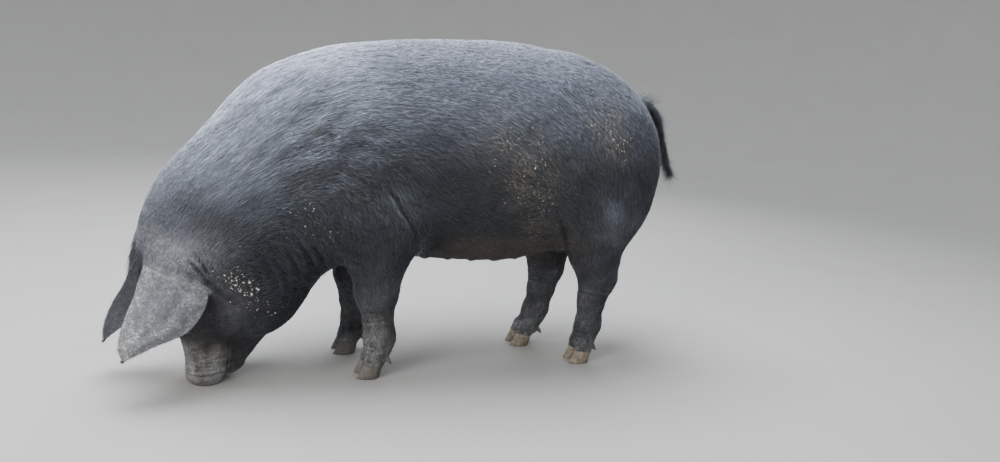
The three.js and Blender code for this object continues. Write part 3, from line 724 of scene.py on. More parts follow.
def zip_loops(vertices, one, other, axis):
    """Triangles between two loops that lie round the same axis, a little apart along it."""
    flat = [a for a in range(3) if a != axis]
    middle = vertices[one].mean(0)[flat]
    rings = []
    for loop in (one, other):
        x, y = (vertices[loop][:, flat] - middle).T
        angle = np.unwrap(np.arctan2(y, x))
        if angle[-1] < angle[0]:
            loop, angle = loop[::-1], angle[::-1]
        rings.append((loop, angle))
    (a, angle_a), (b, angle_b) = rings
    turn = (angle_b - angle_a[0]) % (2 * np.pi)
    start = int(np.argmin(np.minimum(turn, 2 * np.pi - turn)))
    b, angle_b = np.roll(b, -start), np.unwrap(np.roll(angle_b, -start))
    angle_b = angle_b - 2 * np.pi * np.round((angle_b[0] - angle_a[0]) / (2 * np.pi))
    a, b = np.append(a, a[0]), np.append(b, b[0])
    angle_a = np.append(angle_a, angle_a[0] + 2 * np.pi)
    angle_b = np.append(angle_b, angle_b[0] + 2 * np.pi)
    i = j = 0
    made = []
    while i < len(a) - 1 or j < len(b) - 1:
        if j == len(b) - 1 or (i < len(a) - 1 and angle_a[i + 1] <= angle_b[j + 1]):
            made.append((a[i], a[i + 1], b[j]))
            i += 1
        else:
            made.append((a[i], b[j + 1], b[j]))
            j += 1
    made = np.array(made)
    corner = vertices[made]
    normal = np.cross(corner[:, 1] - corner[:, 0], corner[:, 2] - corner[:, 0])[:, flat]
    out = corner.mean(1)[:, flat] - middle
    return made[:, ::-1] if (normal * out).sum() < 0 else made


def split_pinches(vertices, quads):
    """Where two sheets of the mesh share one edge, gives each sheet corners of its own."""
    edges = np.sort(np.stack([quads, np.roll(quads, -1, axis=1)], axis=-1).reshape(-1, 2), axis=1)
    names, count = np.unique(edges, axis=0, return_counts=True)
    made, added = quads.copy(), []
    for corner in np.unique(names[count > 2]).tolist():
        left = {}
        for n in np.flatnonzero((made == corner).any(axis=1)):
            quad = made[n].tolist()
            k = quad.index(corner)
            left[n] = {quad[k - 1], quad[(k + 1) % 4]}
        neighbours = [c for pair in left.values() for c in pair]
        while left:
            sheet = [left.popitem()]
            for _, mine in sheet:
                joined = [
                    n for n, other in left.items() if any(neighbours.count(c) == 2 for c in mine & other)
                ]
                sheet += [(n, left.pop(n)) for n in joined]
            if left:
                rows = [n for n, _ in sheet]
                made[rows] = np.where(made[rows] == corner, len(vertices) + len(added), made[rows])
                added.append(vertices[corner])
    return np.vstack([vertices, *added]), made


def make_skin():
    """The whole skin in the pig's frame: vertices, quads, triangles, and the three grids."""
    # Each grid reaches a little past its zone, and the rims of the zones are joined by triangles.
    body = Grid((HEAD_CUT - 40, -310, 0), (1040, 310, 1000), BODY_CELL)
    head = Grid((-730, -330, -20), (HEAD_CUT + 10, 260, 840), FINE_CELL, ears=EARS)
    legs = Grid((LEGS_AHEAD, -200, -20), (860, 200, LEG_CUT + 40), FINE_CELL)
    zones = [
        (body, lambda p: (p[:, 0] >= HEAD_CUT) & ((p[:, 2] >= LEG_CUT) | (p[:, 0] < LEGS_AHEAD))),
        (head, lambda p: p[:, 0] <= HEAD_END),
        (legs, lambda p: p[:, 2] <= LEGS_END),
    ]
    vertices, quads, loops = [], [], []
    count = 0
    for grid, zone in zones:
        v, q = surface_net(grid, zone)
        vertices.append(v)
        quads.append(q + count)
        loops.append(boundary_loops(q + count))
        count += len(v)
    vertices, quads = np.concatenate(vertices), np.concatenate(quads)
    for ear in EARS:
        vertices = ear.thinned(vertices)
    triangles = []
    for loop in loops[1] + loops[2]:
        axis = 0 if vertices[loop][:, 0].max() < LEGS_AHEAD else 2
        middle = vertices[loop].mean(0)
        mate = min(loops[0], key=lambda other: np.linalg.norm(vertices[other].mean(0) - middle))
        triangles.append(zip_loops(vertices, mate, loop, axis))
    vertices, quads = split_pinches(vertices, quads)
    return vertices, quads, np.concatenate(triangles), (body, head, legs)


# ---- Marks: where the coat is dusty, muddy or bare, and where sheen, light and shade are painted ---
# Each mark is a number from 0 to 1 at every vertex, of the skin and of the coat alike, by place alone.
MUD = [  # middle and reach in side view, and strength; on the left side only
    ((400, 615), (95, 85), 0.9),
    ((300, 700), (60, 45), 0.35),
    ((640, 745), (60, 75), 0.85),
    ((470, 470), (110, 45), 0.6),
]


def marks(p, normal, ear):
    """The marks at points of the pig's frame, with the skin's direction there and how far it is ear."""
    h = to_head(p)
    (x, y, z), (back, _, up) = p.T, h.T
    cloud = waves(p, 45, 31) * 0.6 + waves(p, 17, 32) * 0.4
    left = step(y, -40, -120)
    on_head = is_head(p)

    # Dried mud on the left flank, rump and foreleg and in scattered patches, and dust towards the ground.
    mud = sum(strength * spot(p, middle, reach) * left for middle, reach, strength in MUD)
    mud = mud * (0.75 + 0.5 * cloud)
    dust = 0.5 * step(z, 110, 20) * (0.8 + 0.4 * cloud)
    left_fore = bell(x, 45, 90) * left
    dust += left_fore * 0.35 * step(z, 210, 120) * (0.6 + 0.6 * cloud)
    mud += left_fore * 0.45 * step(z, 230, 140)

    mud += (1 - on_head) * 0.25 * step(cloud, 0.5, 1.3) * step(z, 900, 700)

    # Pale dust on the ears, less in the middle of the left one; and on the poll a pale painted highlight,
    # laid in as dust and as painted sky sheen.
    leaf = sum(bell(length(p - e.middle), 0, 58) for e in EARS)
    dust += ear * (0.95 - 0.65 * leaf * left + 0.2 * cloud)
    poll = (1 - ear) * spot(h, (-90, 375), (80, 55))
    dust += on_head * (1 - ear) * (0.03 + 0.08 * cloud) + 0.75 * poll

    # Mud and dust round the muzzle, and dust on the shins; the right shins are made paler still, painted
    # light where the body shades them.
    disc = step(up, 34, 22)
    nose = on_head * (1 - ear) * step(up, 150, 80) * (1 - 0.6 * disc) * step(back, 80, 15)
    mud += nose * 0.75 * (0.8 + 0.5 * cloud)
    dust += nose * 0.4 * (0.8 + 0.8 * cloud)
    shins = step(z, 400, 250) * step(x, -150, -110)
    dust += shins * (0.26 + 0.4 * step(y, 30, 80)) * (0.8 + 0.5 * cloud)
    belly = step(z, 470, 400) * step(x, 150, 260) * step(z, 270, 330) * step(x, 700, 560)

    # Painted sky sheen: a pale blue reflection painted on hair that faces up, strongest on the crest and
    # weaker over the rump, and fainter patches of it over the neck, thigh and poll, in the middle of each ear
    # and over the right ear.
    top = step(normal[:, 2], -0.15, 0.88) * step(z, 300, 560)
    crest = step(x, 60, -120) * step(z, 540, 760)
    sky = top * (0.58 + 0.42 * crest - 0.16 * step(x, 480, 640))
    neck, thigh = spot(p, (-330, 590), (130, 110)), spot(p, (705, 500), (75, 110))
    patchy = 0.65 + 0.5 * waves(p, 38, 33)
    sky = np.maximum(sky, (0.31 * neck + 0.24 * thigh) * patchy)
    sky = np.maximum(sky, 0.32 * poll)
    sky = np.maximum(sky, ear * (0.22 * leaf + 0.45 * step(y, -60, -30)))

    bare = on_head * step(up, 32, 20)
    for eye in EYES:
        bare = np.maximum(bare, step(length(p - eye.at), 24, 17))
    # Painted crease shade: dust, mud and the painted sky sheen are taken out in the creases, so they read
    # dark.
    fold = np.clip(-sum(crease.height(p, h) for crease in CREASES) / 5, 0, 1)
    unshaded_share = 1 - 0.85 * fold
    found = {"mud": mud * unshaded_share, "dust": dust * unshaded_share, "sky": sky * unshaded_share, "belly": belly, "bare": bare}
    return {name: np.clip(value, 0, 1).astype(np.float32) for name, value in found.items()}


def set_marks(mesh, values):
    for name, value in values.items():
        mesh.attributes.new(name, "FLOAT", "POINT").data.foreach_set("value", np.float32(value))


# ---- Materials ----------------------------------------------------------------------------------
class Nodes:
    """Short ways to make and join the nodes of one material."""

    def __init__(self, name):
        self.material = bpy.data.materials.new(name)
        self.material.use_nodes = True
        self.tree = self.material.node_tree
        self.shader = self.tree.nodes["Principled BSDF"]
        self.place = self.add("ShaderNodeTexCoord").outputs["Object"]

    def add(self, kind, **values):
        node = self.tree.nodes.new(kind)
        for name, value in values.items():
            setattr(node, name, value)
        return node

    def link(self, value, socket):
        if isinstance(value, bpy.types.NodeSocket):
            self.tree.links.new(value, socket)
        else:
            socket.default_value = value

    def math(self, operation, a, b=0.0):
        node = self.add("ShaderNodeMath", operation=operation)
        self.link(a, node.inputs[0])
        self.link(b, node.inputs[1])
        return node.outputs[0]

    def times(self, a, b):
        return self.math("MULTIPLY", a, b)

    def mix(self, share, a, b, blend="MIX"):
        node = self.add("ShaderNodeMix", data_type="RGBA", blend_type=blend)
        self.link(share, node.inputs["Factor"])
        self.link(colour(a), node.inputs["A"])
        self.link(colour(b), node.inputs["B"])
        return node.outputs["Result"]

    def noise(self, scale, detail=3.0, stretch=None, rough=0.55):
        """A noise of that many lumps a metre, from 0 to 1."""
        place = self.place
        if stretch:
            mapping = self.add("ShaderNodeMapping")
            self.link(place, mapping.inputs["Vector"])
            mapping.inputs["Scale"].default_value = stretch
            place = mapping.outputs["Vector"]
        node = self.add("ShaderNodeTexNoise")
        self.link(place, node.inputs["Vector"])
        node.inputs["Scale"].default_value = scale
        node.inputs["Detail"].default_value = detail
        node.inputs["Roughness"].default_value = rough
        return node.outputs["Fac"]

    def spread(self, value, low, high, to_low=0.0, to_high=1.0):
        node = self.add("ShaderNodeMapRange")
        self.link(value, node.inputs["Value"])
        for name, number in (("From Min", low), ("From Max", high), ("To Min", to_low), ("To Max", to_high)):
            node.inputs[name].default_value = number
        return node.outputs["Result"]

    def mark(self, name):
        return self.add("ShaderNodeAttribute", attribute_name=name).outputs["Fac"]

    def bump(self, height, depth):
        """depth is in metres."""
        node = self.add("ShaderNodeBump")
        self.link(height, node.inputs["Height"])
        node.inputs["Distance"].default_value = depth
        self.tree.links.new(node.outputs["Normal"], self.shader.inputs["Normal"])

    def set(self, **values):
        for name, value in values.items():
            self.link(colour(value), self.shader.inputs[name.replace("_", " ").title().replace("Ior", "IOR")])


def colour(value):
    """A three-number colour gets its fourth number; anything else passes through."""
    return (*value, 1.0) if isinstance(value, tuple) and len(value) == 3 else value


BLACK_HAIR = (0.012, 0.013, 0.016)
# The pale blue of the painted sky sheen, a painted reflection on the hair.
PAINTED_SKY_SHEEN = (0.52, 0.575, 0.735)
# Grey of dust, also used for painted light on the poll and the right shins.
GREY_DUST_AND_LIGHT = (0.37, 0.375, 0.39)
OLIVE_MUD = (0.21, 0.175, 0.12)
BROWN_SKIN = (0.075, 0.057, 0.047)
SNOUT_SKIN = (0.11, 0.095, 0.085)


def marked_colour(n, base):
    """The markings that the skin and the coat share, with the painted sky sheen and painted light, laid over
    a base colour.
    """
    speckle = n.spread(n.noise(230, 4), 0.42, 0.62)
    grain = n.spread(n.noise(60, 3), 0.35, 0.7)
    # The painted sky sheen, broken up by grain and by each tuft's tone.
    sheen = n.times(n.spread(grain, 0, 1, 0.75, 1.0), n.spread(n.mark("shade"), 0, 0.9, 0.15, 1.0))
    made = n.mix(n.times(n.mark("sky"), sheen), base, PAINTED_SKY_SHEEN)
    made = n.mix(n.times(n.mark("belly"), 0.8), made, BROWN_SKIN)
    made = n.mix(n.times(n.mark("mud"), n.spread(speckle, 0, 1, 0.25, 0.9)), made, OLIVE_MUD)
    dust = n.times(n.mark("dust"), n.spread(n.times(speckle, grain), 0, 0.8, 0.3, 1.0))
    return n.mix(dust, made, GREY_DUST_AND_LIGHT)


def skin_material():
    n = Nodes("black_skin")
    base = n.mix(n.noise(35), (0.012, 0.012, 0.014), (0.024, 0.023, 0.026))
    snout = n.mix(n.spread(n.noise(150, 4), 0.35, 0.65), (0.04, 0.035, 0.033), SNOUT_SKIN)
    made = marked_colour(n, n.mix(n.mark("bare"), base, snout))
    n.bump(n.math("ADD", n.noise(650, 4), n.noise(230, 5, stretch=(1, 1, 2.4))), 0.0009)
    n.set(base_color=made, roughness=n.spread(n.noise(90), 0.3, 0.7, 0.48, 0.68), specular_ior_level=0.35)
    return n.material


def coat_material():
    n = Nodes("black_coat")
    tip = n.mark("tip")
    shade = n.mark("shade")
    base = n.mix(n.times(tip, shade), BLACK_HAIR, (0.044, 0.051, 0.07))
    n.set(
        base_color=marked_colour(n, base), roughness=n.spread(shade, 0, 1, 0.34, 0.5),
        specular_ior_level=0.45, sheen_weight=n.spread(n.mark("sky"), 0, 1, 0.12, 0.75),
        sheen_roughness=0.5, sheen_tint=(0.82, 0.89, 1.0),
    )
    return n.material


def hoof_material(name, dark, pale):
    n = Nodes(name)
    streaks = n.noise(160, 3, stretch=(1, 1, 0.12))
    bands = n.noise(40, 2, stretch=(0.3, 0.3, 3.5))
    horn = n.mix(n.spread(streaks, 0.3, 0.7), dark, pale)
    horn = n.mix(n.spread(bands, 0.45, 0.8, 0.0, 0.3), horn, dark)
    height = n.add("ShaderNodeSeparateXYZ")
    n.link(n.place, height.inputs[0])
    low = n.spread(height.outputs["Z"], 0.045, 0.004, 0.35, 1.0)
    mud = n.times(low, n.spread(n.noise(110, 4), 0.36, 0.58))
    n.bump(n.math("ADD", streaks, n.times(bands, 1.5)), 0.0012)
    n.set(base_color=n.mix(mud, horn, (0.115, 0.095, 0.073)), roughness=n.spread(mud, 0, 1, 0.52, 0.85))
    return n.material


def eye_material(eye):
    """Dark brown iris round an oval pupil, found by how far a point turns from the gaze."""
    n = Nodes(f"{eye.name}_ball")
    middle = n.add("ShaderNodeVectorMath", operation="SUBTRACT")
    n.link(n.place, middle.inputs[0])
    middle.inputs[1].default_value = to_row(eye.at)
    across = []
    for axis, size in ((0, 1.0), (1, 1.35)):
        dot = n.add("ShaderNodeVectorMath", operation="DOT_PRODUCT")
        n.link(middle.outputs[0], dot.inputs[0])
        dot.inputs[1].default_value = eye.axes[axis] * size / (EYE_RADIUS * MM)
        across.append(dot.outputs["Value"])
    out = n.math("SQRT", n.math("ADD", n.math("POWER", across[0], 2.0), n.math("POWER", across[1], 2.0)))
    iris = n.mix(n.spread(n.noise(900, 2), 0.3, 0.7), (0.035, 0.014, 0.006), (0.1, 0.045, 0.018))
    made = n.mix(n.spread(out, 0.62, 0.72), iris, (0.18, 0.12, 0.1))
    made = n.mix(n.spread(out, 0.34, 0.28), made, (0.002, 0.002, 0.003))
    n.set(base_color=made, roughness=0.25, coat_weight=1.0, coat_roughness=0.02, ior=1.4)
    return n.material


def floor_material():
    n = Nodes("pale_floor")
    n.set(base_color=n.mix(n.noise(3, 2), (0.29, 0.285, 0.275), (0.32, 0.315, 0.305)), roughness=0.85)
    return n.material


# ---- Pieces -------------------------------------------------------------------------------------
def new_piece(name, vertices, faces, material, slot=None, replaces=()):
    """A smooth mesh from points in the pig's frame. faces is a list of arrays of equal-sided faces."""
    mesh = bpy.data.meshes.new(name)
    sides = np.concatenate([np.full(len(f), f.shape[1]) for f in faces])
    corners = np.concatenate([np.asarray(f).ravel() for f in faces]).astype(np.int32)
    mesh.vertices.add(len(vertices))
    mesh.vertices.foreach_set("co", np.float32(to_row(vertices)).ravel())
    mesh.loops.add(len(corners))
    mesh.loops.foreach_set("vertex_index", corners)
    mesh.polygons.add(len(sides))
    mesh.polygons.foreach_set("loop_start", (np.cumsum(sides) - sides).astype(np.int32))
    mesh.polygons.foreach_set("use_smooth", np.ones(len(sides), bool))
    mesh.update(calc_edges=True)
    mesh.materials.append(material)
    piece = bpy.data.objects.new(name, mesh)
    bpy.context.scene.collection.objects.link(piece)
    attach(piece, BODY)
    if replaces:
        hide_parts(*replaces)
    return piece


def normals_of(vertices, quads):
    a, b, c, d = (vertices[quads[:, k]] for k in range(4))
    return unit(gathered(quads, np.cross(c - a, d - b), len(vertices)))


def ear_share(p):
    """1 on an ear and 0 off it."""
    found = np.zeros(len(p), np.float32)
    for ear in EARS:
        near, gap, index = ear.nearest(p, 12)
        found[near] = np.maximum(found[near], step(gap, 11, 6) * step(ear.share[index], 0.05, 0.3))
    return found


# ---- Hooves and dewclaws ------------------------------------------------------------------------
def closed_loft(rings):
    """Faces of a tube through rings of equal count, closed at both ends by a fan round its middle."""
    rows, around = rings.shape[:2]
    index = np.arange(rows * around).reshape(rows, around)
    after = np.roll(index, -1, axis=1)
    vertices = np.vstack([rings.reshape(-1, 3), rings[0].mean(0), rings[-1].mean(0)])
    first, last = rows * around, rows * around + 1
    fans = [np.stack([after[0], index[0], np.full(around, first)], axis=-1)]
    fans.append(np.stack([index[-1], after[-1], np.full(around, last)], axis=-1))
    return vertices, [tube(index), np.concatenate(fans)]


def horn_piece(node, rings, material, slot):
    """A hoof or a dewclaw, in place of its solid."""
    new_piece(f"{node}_horn", *closed_loft(np.array(rings)), material, slot, [node])


def make_hoof(node, at, number, material, slot):
    """Horn that is narrow towards the toe and leans back as it rises, with growth rings."""
    x, y, splay = at
    angle = np.linspace(0, 2 * np.pi, 48, endpoint=False)
    slim = 1 - 0.11 * (1 - np.cos(angle)) ** 2
    rings = []
    top = HOOF["toe_coronet"] + 2
    wall = 8  # above this height the rings follow the coronet
    for z in [0.4, 0.4, 1.6, 4, *np.linspace(wall, top, 15)]:
        edge = {0: 9.0, 1: 2.6, 2: 0.9}.get(len(rings), 0.4)  # the sole's rounded rim
        growth = 0.5 * math.sin(z * 0.85) + 0.3 * math.sin(z * 2.1 + number)
        long = HOOF["long"] * (1 - z / 300) / 2 - edge + growth * 0.6
        wide = HOOF["wide"] / 2 - edge + growth * 0.4
        wobble = 0.6 * np.sin(angle * 3 + z * 0.07 + number * 2)
        along = np.cos(angle) * (long + wobble) + z * HOOF["lean"]
        across = np.sin(angle) * (wide + wobble) * slim
        limit = coronet_height(along - z * HOOF["lean"]) + 1.5  # hidden in the coronary band
        height = np.where(z > wall, wall + (z - wall) * (limit - wall) / (top - wall), z)
        along += (height - z) * HOOF["lean"]
        rings.append(np.stack([
            x + along * math.cos(-splay) - across * math.sin(-splay),
            y + along * math.sin(-splay) + across * math.cos(-splay),
            height,
        ], axis=-1))
    horn_piece(node, rings, material, slot)


def make_dewclaw(node, x, y, s, material, slot):
    """A small blunt claw that points down and back from behind the fetlock."""
    root = np.array([x - 16, y - s * 6, DEWCLAW["height"] + DEWCLAW["drop"] / 2 + 1])
    tip = np.array([x + 9, y + s * 3, DEWCLAW["height"] - DEWCLAW["drop"] / 2])
    along = (tip - root) / np.linalg.norm(tip - root)
    u = np.cross(along, [0, 1, 0])
    u /= np.linalg.norm(u)
    v = np.cross(along, u)
    angle = np.linspace(0, 2 * np.pi, 28, endpoint=False)[:, None]
    rings = []
    for share in np.linspace(0, 1, 16):
        radius = DEWCLAW["radius"] * (1 - 0.42 * share) * math.sqrt(max(1 - share**5, 0.02))
        radius += 0.35 * math.sin(share * 26) - 0.5
        middle = root + (tip - root) * share + np.array([0, 0, -2.5]) * share**2
        rings.append(middle + radius * (np.cos(angle) * u + np.sin(angle) * v * 0.86))
    horn_piece(node, rings, material, slot)


def make_feet():
    """Two hooves and two dewclaws on each foot, pale, muddy or dark as the leg is."""
    pale = hoof_material("pale_horn", (0.14, 0.115, 0.085), (0.34, 0.29, 0.21))
    muddy = hoof_material("muddy_horn", (0.04, 0.038, 0.035), (0.13, 0.122, 0.108))
    dark = hoof_material("dark_horn", (0.03, 0.034, 0.042), (0.14, 0.15, 0.17))
    horns = {"fore_left": muddy, "fore_right": dark}
    for leg in LEGS:
        slot = "hoof_dark" if leg == "fore_right" else "hoof"
        for number, (side, s) in enumerate((("near", -1), ("far", 1))):
            make_hoof(f"{leg}_hoof_{side}", hooves_of(leg)[number], number, horns.get(leg, pale), slot)
            x = JOINTS[leg][-1][0][0] + DEWCLAW["back"]
            y = FOOT[leg][1] + s * DEWCLAW["side"]
            make_dewclaw(f"{leg}_dewclaw_{side}", x, y, s, dark if leg == "fore_right" else muddy, slot)


def make_eye(eye):
    """The eyeball, with the cornea standing out a little in front."""
    rows, columns = 40, 56
    turn = np.linspace(0.02, np.pi - 0.02, rows)[:, None]
    angle = np.linspace(0, 2 * np.pi, columns, endpoint=False)[None, :]
    radius = EYE_RADIUS - 0.3 + 0.3 * bell(turn, 0, 0.5)
    local = np.stack(np.broadcast_arrays(
        radius * np.sin(turn) * np.cos(angle), radius * np.sin(turn) * np.sin(angle), radius * np.cos(turn)
    ), axis=-1)
    vertices, faces = closed_loft((local.reshape(-1, 3) @ eye.axes + eye.at).reshape(rows, columns, 3))
    new_piece(f"{eye.name}_ball", vertices, faces, eye_material(eye), "eye", [eye.name])


# ---- The lie of the coat ------------------------------------------------------------------------
# Where the hair points, in side view: a place (x, z) and a direction (x, z) there, both sides alike.
GUIDES = [
    ((-560, 420), (0.25, 1.0)), ((-470, 560), (0.62, 0.78)), ((-330, 700), (0.72, 0.68)),
    ((-180, 850), (0.86, 0.42)), ((-330, 480), (0.72, 0.62)), ((-200, 620), (0.86, 0.42)),
    ((-120, 730), (0.93, 0.28)), ((-220, 400), (0.7, -0.5)), ((-300, 260), (0.95, 0.25)),
    ((-90, 480), (0.5, -0.8)), ((-80, 600), (0.85, -0.2)), ((0, 850), (1.0, -0.12)),
    ((20, 700), (0.97, -0.22)), ((20, 540), (0.45, -0.85)), ((50, 420), (0.15, -1.0)),
    ((180, 860), (0.95, -0.35)), ((200, 680), (0.88, -0.46)), ((200, 500), (0.97, -0.2)),
    ((350, 880), (0.86, -0.5)), ((370, 700), (0.78, -0.62)), ((370, 520), (0.97, -0.15)),
    ((370, 400), (1.0, 0.0)), ((520, 880), (0.74, -0.66)), ((530, 700), (0.58, -0.8)),
    ((520, 520), (0.8, -0.55)), ((660, 860), (0.56, -0.82)), ((660, 700), (0.36, -0.93)),
    ((660, 540), (0.25, -0.96)), ((800, 800), (0.35, -0.93)), ((860, 600), (0.05, -1.0)),
    ((700, 380), (0.15, -1.0)), ((730, 200), (0.0, -1.0)), ((40, 280), (0.0, -1.0)),
    ((40, 120), (-0.05, -1.0)), ((-420, 120), (0.12, 1.0)), ((-430, 260), (0.3, 0.95)),
    ((-340, 200), (0.7, 0.6)),
]
GUIDE_REACH = 85
HAIR = {  # tufts for each square millimetre, and their length, width and lift
    "body": (0.056, 42, 1.45, 1.6), "belly": (0.032, 30, 1.6, 1.8), "leg": (0.085, 17, 1.2, 0.9),
    "foot": (0.12, 9, 0.9, 0.6), "head": (0.080, 18, 1.2, 1.1), "face": (0.10, 8, 0.8, 0.6),
    "muzzle": (0.08, 5, 0.6, 0.35), "ear": (0.13, 8, 0.6, 0.3), "tail": (0.10, 18, 1.1, 1.8),
}


def lie(p, normal, ear, leaf_along, rng):
    """Which way each hair points: along the skin, by the nearest guides, and from root to tip on an ear."""
    total = np.zeros((len(p), 3), np.float32)
    for (x, z), (dx, dz) in GUIDES:
        weight = np.exp(-((p[:, 0] - x) ** 2 + (p[:, 2] - z) ** 2) / GUIDE_REACH**2) + 1e-12
        total += weight[:, None] * np.float32([dx, 0, dz])
    total = unit(total)
    total = total * (1 - ear[:, None]) + leaf_along * ear[:, None]
    sway = np.stack([waves(p, 34, 40 + k) for k in range(3)], axis=1)
    locks = np.stack([waves(p, 10, 50 + k) for k in range(3)], axis=1)
    wavy = 0.02 + 0.19 * bell(p[:, 0], -140, 190)  # most over the neck and shoulder
    total += wavy[:, None] * (sway + 0.5 * locks) + 0.02 * locks + rng.normal(0, 0.055, p.shape)
    return unit(total - (total * normal).sum(1)[:, None] * normal)


def streaks(p, along, size, reach, seed):
    """A noise drawn out along the hair: the mean of a soft noise at places before and behind each root."""
    total = np.zeros(len(p), np.float32)
    for share in np.linspace(-1, 1, 7):
        total += waves(p + along * np.float32(share * reach), size, seed, 24)
    return total / 4


def leaf_at(p):
    """For points on an ear: the way to its tip there, and their place on a map of both its sides."""
    along = np.zeros((len(p), 3), np.float32)
    place = np.zeros((len(p), 2), np.float32)
    for ear in EARS:
        near, gap, index = ear.nearest(p, 15)
        hit, index = near[gap < 15], index[gap < 15]
        along[hit] = ear.along[index]
        outer = ((p[hit] - ear.points[index]) * ear.out[index]).sum(1) > 0
        place[hit] = np.stack([ear.share[index] / 2 + 0.5 * outer, (ear.across[index] + 1) / 2], axis=1)
    return along, place


def height_over(points):
    """How far points are above the skin, in millimetres."""
    body, head, legs = GRIDS
    in_head = points[:, 0] < HEAD_END
    in_legs = (points[:, 2] < LEGS_END) & (points[:, 0] > LEGS_AHEAD)
    found = np.zeros(len(points), np.float32)
    for grid, here in ((head, in_head), (legs, in_legs & ~in_head), (body, ~in_head & ~in_legs)):
        found[here] = grid.sample(points[here])
    return found


def coat_plan(p, ear):
    """The numbers of HAIR at each point: each region's in turn, soft at its borders."""
    x, y, z = p.T
    head = is_head(p)
    legs = step(x, -150, -110)
    plan = np.float32([HAIR["body"]] * len(p))
    for region, share in (
        ("belly", step(z, 440, 390) * step(x, 130, 230) * step(x, 680, 560)),
        ("leg", step(z, 400, 270) * legs),
        ("foot", step(z, 150, 70) * legs),
        ("head", head),
        ("face", head * step(z, 330, 230)),
        ("muzzle", head * step(z, 190, 100)),
        ("ear", ear),
        ("tail", step(x, 905, 930)),
    ):
        plan += share[:, None] * (np.float32(HAIR[region]) - plan)
    haired = np.where(head > 0.5, step(to_head(p)[:, 2], 24, 44), step(z, 26, 34)).astype(float)
    for eye in EYES:
        haired = haired * step(length(p - eye.at), 15, 24)
    for at_x, at_y in FOOT.values():
        hoof = (np.hypot(x - at_x - FOOT_BACK, y - at_y) < 90) & (z < coronet_height(x - at_x) + 1)
        haired = np.where(hoof, 0, haired)
    plan[:, 0] *= haired
    return plan


ROOT_DEPTH = 1.5  # how far a hair's root is sunk into the skin
TUFT_FACES = np.array([(0, 3, 1), (0, 2, 3), (0, 1, 2), (1, 3, 4), (3, 2, 4), (2, 1, 4)])
TUFT_MIDDLE = 0.45  # where a tuft is widest, as a share of its length
TUFT_TIP = np.float32([0, TUFT_MIDDLE, TUFT_MIDDLE, TUFT_MIDDLE, 1])
STRAY_SHARE, STRAY_LIFT, TIP_LIFT = 0.03, 2.6, 0.75
BAKE_PATCH = 0.0015  # half a tuft's size in the map OFBake


def tuft_vertices(root, normal, along, plan, ear, clump, rng):
    """Thin closed tufts, five corners each, that rise from the skin and lie back down along it."""
    count = len(root)
    long = plan[:, 1] * rng.uniform(0.7, 1.25, count)
    wide = plan[:, 2] * rng.uniform(0.6, 1.3, count) / 2
    lift = plan[:, 3] * (rng.uniform(0.6, 1.4, count) + 0.5 * clump)
    stray = rng.random(count) < STRAY_SHARE
    side = np.cross(normal, along)

    def above_skin(point, height):
        lowest = np.where((point[:, 2] < 56) & (point[:, 0] > LEGS_AHEAD), 0, -12)  # hangs over the coronet
        rise = np.where(ear > 0.5, height, np.clip(height - height_over(point), lowest, 12))
        return point + normal * rise[:, None]

    middle = above_skin(root + along * (TUFT_MIDDLE * long)[:, None], lift)
    bend = side * (rng.normal(0, 0.035, count) * long)[:, None]
    tip = above_skin(root + along * long[:, None] + bend, lift * np.where(stray, STRAY_LIFT, TIP_LIFT))
    made = np.stack([
        root - normal * ROOT_DEPTH,
        middle + side * wide[:, None] - normal * 0.3,
        middle - side * wide[:, None] - normal * 0.3,
        middle + normal * (0.35 * wide + 0.25)[:, None],
        tip,
    ], axis=1)
    made[:, :, 2] = np.maximum(made[:, :, 2], 1.0)
    return made


def round_place(x, y, height):
    """A place on an unwrap by the turn round an upright axis, and the height."""
    return np.stack([np.arctan2(y, x) / (2 * np.pi) + 0.5, height], axis=1)


def head_place(p):
    h = to_head(p)
    return round_place(h[:, 0] - 20, h[:, 1], h[:, 2] / 560)


def tail_place(p):
    return round_place(p[:, 0] - 960, p[:, 1] + 8, (p[:, 2] - 560) / 290)


def regions(p, ear):
    """Which coat piece each root belongs to, with its place on an unwrap of that part of the skin."""
    x, y, z = p.T
    along, leaf = leaf_at(p)
    rest = np.ones(len(p), bool)
    found = []

    def take(name, here, place):
        found.append((name, np.flatnonzero(rest & here), place))
        rest[here] = False

    for side, here in (("left", y < SNOUT["y"]), ("right", y >= SNOUT["y"])):
        take(f"coat_ear_{side}", (ear > 0.5) & here, leaf)
    take("coat_head", is_head(p) > 0.5, head_place(p))
    low = (z < 330) & (x > LEGS_AHEAD)
    which = leg_at(p)
    for n, leg in enumerate(LEGS):
        at_x, at_y = FOOT[leg]
        take(f"coat_{leg}", low & (which == n), round_place(x - at_x - 22, y - at_y, z / 340))
    take("coat_tail", x > 905, tail_place(p))
    left = y < np.interp(x, [-560, -100], [-60, 0])
    ring = np.arctan2(np.abs(y), z - 620) / np.pi
    for name, start, end in (
        ("neck", -700, -170), ("shoulder", -170, 130), ("barrel_front", 130, 350),
        ("barrel_back", 350, 560), ("rump", 560, 1000),
    ):
        part = (x >= start) & (x < end)
        u = (x - max(start, -560)) / (min(end, 920) - max(start, -560))
        for side, here in (("left", left), ("right", ~left)):
            take(f"coat_{name}_{side}", part & here, np.stack([u, ring], axis=1))
    return found, along


